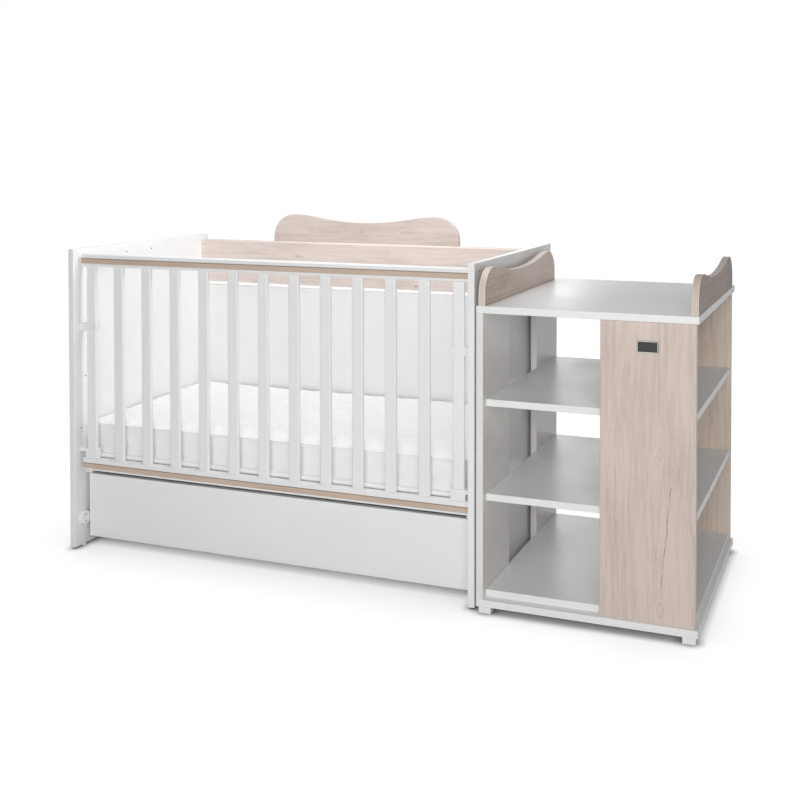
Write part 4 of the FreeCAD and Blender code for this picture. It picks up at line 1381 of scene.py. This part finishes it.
@dataclass
class Mattress:
    """The quilted mattress: a blown-up cover with stitched channels, and piping round both edges."""

    voxel: float = 0.006
    start_inset: float = 0.006
    end_reach: float = 0.0175
    side_reach: float = 0.0105
    pressure: float = 4.0
    last_frame: int = 20
    swell_cap: float = 0.007
    crown: float = 0.011
    corner: float = 0.045
    front_lift: float = 0.001
    back_lift: float = 0.010
    top_cord: Cord = Cord("mattress_top_piping", 0.0024, -0.003, 0.004)
    low_cord: Cord = Cord("mattress_low_piping", 0.0078, 0.006, 0.001)
    top_cord_drop: float = 1.5
    cord_end_reach: float = 0.006
    run_steps: int = 24
    bend_steps: int = 8
    cord_rings: int = 3
    quilt_pitch: float = 0.105
    quilt_width: float = 0.010
    quilt_depth: float = 0.0016
    top_ramp: Pair = (0.75, 0.2)
    side_ramp: Pair = (0.45, 0.3)
    side_wave: float = 0.020
    side_period: float = 0.17
    side_drop: float = 0.004
    side_share: float = 0.6
    stitch_shade_power: int = 3

    def build(self, finishes: Finishes) -> None:
        """Builds the body and both pipings.

        Args:
            finishes: The shared finishes.
        """
        body = self.build_body()
        place_in_part(body, "crib", finishes.cover)
        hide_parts("mattress")
        low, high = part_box("mattress")
        heights = {
            self.top_cord: high.z - self.crown - self.top_cord.radius * self.top_cord_drop,
            self.low_cord: low.z + self.low_cord.radius,
        }
        for cord, height in heights.items():
            place_in_part(self.build_piping(cord, height), "crib", finishes.piping)

    def lift(self, points: np.ndarray) -> np.ndarray:
        """How far the filling raises each point: most on top and at the back.

        Args:
            points: Places in the part, one in each row.

        Returns:
            The rise of each point, in metres.
        """
        low, high = (np.array(corner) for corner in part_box("mattress"))
        share = np.clip((points - low) / (high - low), 0.0, 1.0)
        return share[:, 2] * (self.front_lift + (self.back_lift - self.front_lift) * share[:, 1])

    def build_body(self) -> Piece:
        """Blows up the cover and stitches it.

        Returns:
            The mattress's body.
        """
        body = add_object("mattress_body", frame["nodes"]["mattress"].data.copy())
        low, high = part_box("mattress")
        size = high - low
        shares = [(side - self.start_inset * 2) / side for side in size]
        shares[0] += self.end_reach * 2 / size.x
        shares[1] += self.side_reach * 2 / size.y
        with editing(body):
            bpy.ops.mesh.select_all(action="SELECT")
            bpy.ops.mesh.remove_doubles(threshold=WELD)
            bpy.ops.transform.resize(value=shares, center_override=(low + high) / 2)
        pick(body)
        body.data.remesh_voxel_size = self.voxel
        bpy.ops.object.voxel_remesh()
        self.blow_up(body)
        apply_modifier(body, "SUBSURF", levels=1, render_levels=1)
        self.stitch(body)
        pick(body)
        bpy.ops.object.shade_smooth()
        return body

    def blow_up(self, body: Piece) -> None:
        """Swells the cover with cloth under pressure, and limits how far each point moves.

        Args:
            body: The remeshed cover.
        """
        start = self.rows(body, "co")
        pick(body)
        bpy.ops.object.modifier_add(type="CLOTH")
        cloth = body.modifiers[-1]
        cloth.settings.use_pressure = True
        cloth.settings.uniform_pressure_force = self.pressure
        cloth.settings.effector_weights.gravity = 0.0
        cloth.point_cache.frame_end = self.last_frame
        for number in range(1, self.last_frame + 1):
            bpy.context.scene.frame_set(number)
        bpy.ops.object.modifier_apply(modifier=cloth.name)
        bpy.context.scene.frame_set(1)
        move = self.rows(body, "co") - start
        distance = np.linalg.norm(move, axis=1, keepdims=True)
        points = start + move * np.minimum(1.0, self.swell_cap / np.maximum(distance, 1e-9))
        points[:, 2] = np.maximum(points[:, 2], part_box("mattress")[0].z)
        body.data.vertices.foreach_set("co", points.ravel())
        body.data.update()

    @staticmethod
    def rows(body: Piece, key: str) -> np.ndarray:
        """Reads a vector of every vertex.

        Args:
            body: The mesh object.
            key: The vector's name, co or normal.

        Returns:
            The vectors, one in each row.
        """
        flat = np.empty(len(body.data.vertices) * 3)
        body.data.vertices.foreach_get(key, flat)
        return flat.reshape(-1, 3)

    def stitch(self, body: Piece) -> None:
        """Sinks the stitched channels: a diamond quilt on top and two crossing waves round the sides.

        Args:
            body: The swollen body, which also gets the channels as an attribute, the mask of their painted
                shade.
        """
        points = self.rows(body, "co")
        normals = self.rows(body, "normal")
        low, high = (np.array(corner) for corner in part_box("mattress"))
        x, y, z = (points - (low + high) / 2).T
        steep = np.abs(normals[:, 2])
        on_top = np.clip((steep - self.top_ramp[0]) / self.top_ramp[1], 0.0, 1.0)
        on_side = np.clip((self.side_ramp[0] - steep) / self.side_ramp[1], 0.0, 1.0)
        pitch = self.quilt_pitch
        seams = [np.abs((value / pitch + 0.5) % 1.0 - 0.5) * pitch for value in (x + y, x - y)]
        diamonds = np.minimum(*seams) / math.sqrt(2.0)
        run = np.where(np.abs(normals[:, 1]) > np.abs(normals[:, 0]), x, y)
        wave = self.side_wave * np.sin(2.0 * math.pi * run / self.side_period)
        level = z + self.side_drop
        waves = np.minimum(np.abs(level - wave), np.abs(level + wave))
        groove = np.exp(-((diamonds / self.quilt_width) ** 2)) * on_top
        groove += np.exp(-((waves / self.quilt_width) ** 2)) * on_side * self.side_share
        points -= normals * (groove * self.quilt_depth)[:, None]
        points[:, 2] += self.lift(points)
        body.data.vertices.foreach_set("co", points.ravel())
        # The sharpened channel depth is the mask of the painted shade in the channels.
        values = body.data.attributes.new(STITCH_SHADE, "FLOAT", "POINT")
        values.data.foreach_set("value", groove.astype(np.float32) ** self.stitch_shade_power)
        body.data.update()

    def outline(self, cord: Cord) -> list[Vector]:
        """The line that a cord follows, round the mattress's middle.

        Args:
            cord: The cord.

        Returns:
            Its points, from one long side round to the other end.
        """
        low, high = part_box("mattress")
        half_x = (high.x - low.x) / 2 + self.cord_end_reach - cord.radius
        half_y = (high.y - low.y) / 2 + cord.side_reach - cord.radius
        points = []
        for side in range(4):
            run, out = (half_x, half_y) if side % 2 == 0 else (half_y, half_x)
            run -= self.corner
            line = [
                (run * t, -out + cord.draw * (1.0 - t * t))
                for t in np.linspace(-1.0, 1.0, self.run_steps + 1)[:-1]
            ]
            bend = [
                (run + self.corner * math.sin(a), -out + self.corner * (1.0 - math.cos(a)))
                for a in np.linspace(0.0, math.pi / 2, self.bend_steps + 1)[:-1]
            ]
            turn = Matrix.Rotation(side * math.pi / 2, 2)
            points += [turn @ Vector(p) for p in line + bend]
        return points

    def build_piping(self, cord: Cord, height: float) -> Piece:
        """Models a cord of piping round the mattress.

        Args:
            cord: The cord.
            height: The height of its middle line before the filling raises it.

        Returns:
            The piping as a mesh.
        """
        low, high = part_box("mattress")
        middle = (low + high) / 2
        line = np.array([(middle.x + p.x, middle.y + p.y, height) for p in self.outline(cord)])
        line[:, 2] += self.lift(line)
        curve = bpy.data.curves.new(cord.name, "CURVE")
        curve.dimensions = "3D"
        curve.bevel_depth = cord.radius
        curve.bevel_resolution = self.cord_rings
        spline = curve.splines.new("POLY")
        spline.points.add(len(line) - 1)
        spline.use_cyclic_u = True
        for knot, place in zip(spline.points, line):
            knot.co = (*place, 1.0)
        pick(add_object(cord.name, curve))
        bpy.ops.object.convert(target="MESH")
        bpy.ops.object.shade_smooth()
        return settle(bpy.context.object, cord.name)


# Studio

@dataclass(frozen=True)
class SoftBox:
    """A large soft lamp: where it hangs, what it looks at, its size and its power."""

    name: str
    place: Triple
    aim: Triple
    size: Pair
    power: float

    def build(self) -> None:
        """Hangs the lamp."""
        lamp = bpy.data.lights.new(self.name, "AREA")
        lamp.shape = "RECTANGLE"
        lamp.size, lamp.size_y = self.size
        lamp.energy = self.power
        holder = add_object(self.name, lamp)
        holder.location = self.place
        toward = Vector(self.aim) - Vector(self.place)
        holder.rotation_euler = toward.to_track_quat("-Z", "Y").to_euler()
        holder.visible_camera = False


@dataclass
class Studio:
    """Pale floor, soft lamps and the camera of the photograph."""

    image_side: float = 800.0
    sensor: float = 36.0
    focal_pixels: float = 1121.647
    centre_pixel: Pair = (450.0, 184.609)
    eye: Triple = (1.290306, -2.997849, 1.149120)
    pitch_down: float = 1.427
    yaw: float = 20.814
    floor_side: float = 60.0
    floor_tone: float = 0.80
    paper_tone: float = 0.09
    # Painted shadow: reach and strength of the ambient occlusion that darkens the floor's glow.
    shadow_reach: Pair = (0.32, 0.026)
    shadow_power: Pair = (0.31, 1.3)
    shadow_samples: int = 16
    fill: float = 0.175
    lamps: tuple[SoftBox, ...] = (
        SoftBox("right_box", (2.0, -3.6, 2.2), (0.2, 0.0, 0.45), (1.6, 1.4), 36.0),
        SoftBox("front_box", (1.0, -4.0, 1.2), (0.0, 0.0, 0.45), (1.8, 1.2), 56.0),
        SoftBox("crib_box", (-0.45, -0.05, 1.95), (-0.45, 0.0, 0.3), (0.9, 0.5), 6.0),
        SoftBox("inner_box", (0.22, -0.05, 1.75), (-0.9, 0.0, 1.25), (0.7, 0.7), 11.5),
        SoftBox("back_box", (-0.7, 3.6, 0.55), (-0.2, 0.35, 0.45), (3.0, 0.7), 20.0),
        SoftBox("left_box", (-3.6, 0.9, 0.5), (-0.9, 0.0, 0.45), (1.6, 0.7), 26.0),
        SoftBox("sheen_box", (-0.62, 3.6, 1.35), (0.45, 0.0, 0.779), (0.45, 0.75), 2.4),
    )

    def build(self) -> None:
        """Builds the floor, the world, the lamps and the camera."""
        self.build_floor()
        self.build_world()
        for lamp in self.lamps:
            lamp.build()
        self.build_camera()
        bpy.context.scene.view_settings.view_transform = "Standard"

    @staticmethod
    def seen_directly(graph: Graph) -> Socket:
        """One for rays that see a backdrop from the camera, in a reflection or through glass.

        Args:
            graph: The backdrop's graph.

        Returns:
            The rays' mask.
        """
        path = graph.node("LightPath")
        either = graph.math("MAXIMUM", path["Is Camera Ray"], path["Is Glossy Ray"])
        return graph.math("MAXIMUM", either, path["Is Transmission Ray"])

    def build_floor(self) -> None:
        """Lays the floor, which the camera sees as glowing white paper with a soft shadow painted in by
        ambient occlusion and a faint real shadow.
        """
        bpy.ops.object.select_all(action="DESELECT")
        bpy.ops.mesh.primitive_plane_add(size=self.floor_side)
        floor = bpy.context.object
        floor.name = "studio_floor"
        material = bpy.data.materials.new("studio_floor")
        material.use_nodes = True
        graph = Graph(material.node_tree)
        graph.tree.nodes.clear()
        plain = graph.node("BsdfDiffuse", {"Color": (*grey(self.floor_tone), 1.0)})[0]
        paper = graph.node("BsdfDiffuse", {"Color": (*grey(self.paper_tone), 1.0)})[0]
        # Painted shadow: the glow is darkened by ambient occlusion near the object.
        shades = []
        for reach, power in zip(self.shadow_reach, self.shadow_power):
            nearby = graph.node("AmbientOcclusion", {"Distance": reach}, samples=self.shadow_samples)
            shades.append(graph.math("POWER", nearby["AO"], power))
        glow_with_painted_shadow = graph.node("Emission", {"Strength": graph.times(*shades)})[0]
        lit = graph.node("AddShader", {0: paper, 1: glow_with_painted_shadow})[0]
        shown = graph.node("MixShader", {0: self.seen_directly(graph), 1: plain, 2: lit})[0]
        graph.node("OutputMaterial", {"Surface": shown})
        floor.data.materials.append(material)

    def build_world(self) -> None:
        """Makes the world white where it is seen and an even fill where it lights."""
        world = bpy.data.worlds.new("studio_world")
        world.use_nodes = True
        graph = Graph(world.node_tree)
        graph.tree.nodes.clear()
        white = (*grey(1.0), 1.0)
        light = graph.node("Background", {"Color": white, "Strength": self.fill})[0]
        backdrop = graph.node("Background", {"Color": white, "Strength": 1.0})[0]
        shown = graph.node("MixShader", {0: self.seen_directly(graph), 1: light, 2: backdrop})[0]
        graph.node("OutputWorld", {"Surface": shown})
        bpy.context.scene.world = world

    def build_camera(self) -> None:
        """Sets the camera that was fitted to the photograph's edges."""
        data = bpy.data.cameras.new("photo_camera")
        data.sensor_width = self.sensor
        data.lens = self.focal_pixels * self.sensor / self.image_side
        half = self.image_side / 2
        data.shift_x = (half - self.centre_pixel[0]) / self.image_side
        data.shift_y = (self.centre_pixel[1] - half) / self.image_side
        camera = add_object("photo_camera", data)
        camera.location = self.eye
        camera.rotation_euler = (math.radians(90.0 - self.pitch_down), 0.0, math.radians(self.yaw))
        bpy.context.scene.camera = camera


def main() -> None:
    """Builds and dresses the sub-assemblies, then the studio."""
    logging.basicConfig(level=logging.INFO, format="%(name)s: %(message)s")
    finishes = Finishes.mix()
    fasteners = Fasteners()
    crib = CribFrame()
    crib.dress(finishes)
    crib.build(finishes, fasteners)
    DropGate().dress(finishes)
    drawer = Drawer()
    drawer.dress(finishes)
    drawer.build(finishes, fasteners)
    cabinet = Cabinet()
    cabinet.dress(finishes)
    cabinet.build(finishes, fasteners)
    Mattress().build(finishes)
    Studio().build()


if __name__ == "__main__":
    main()
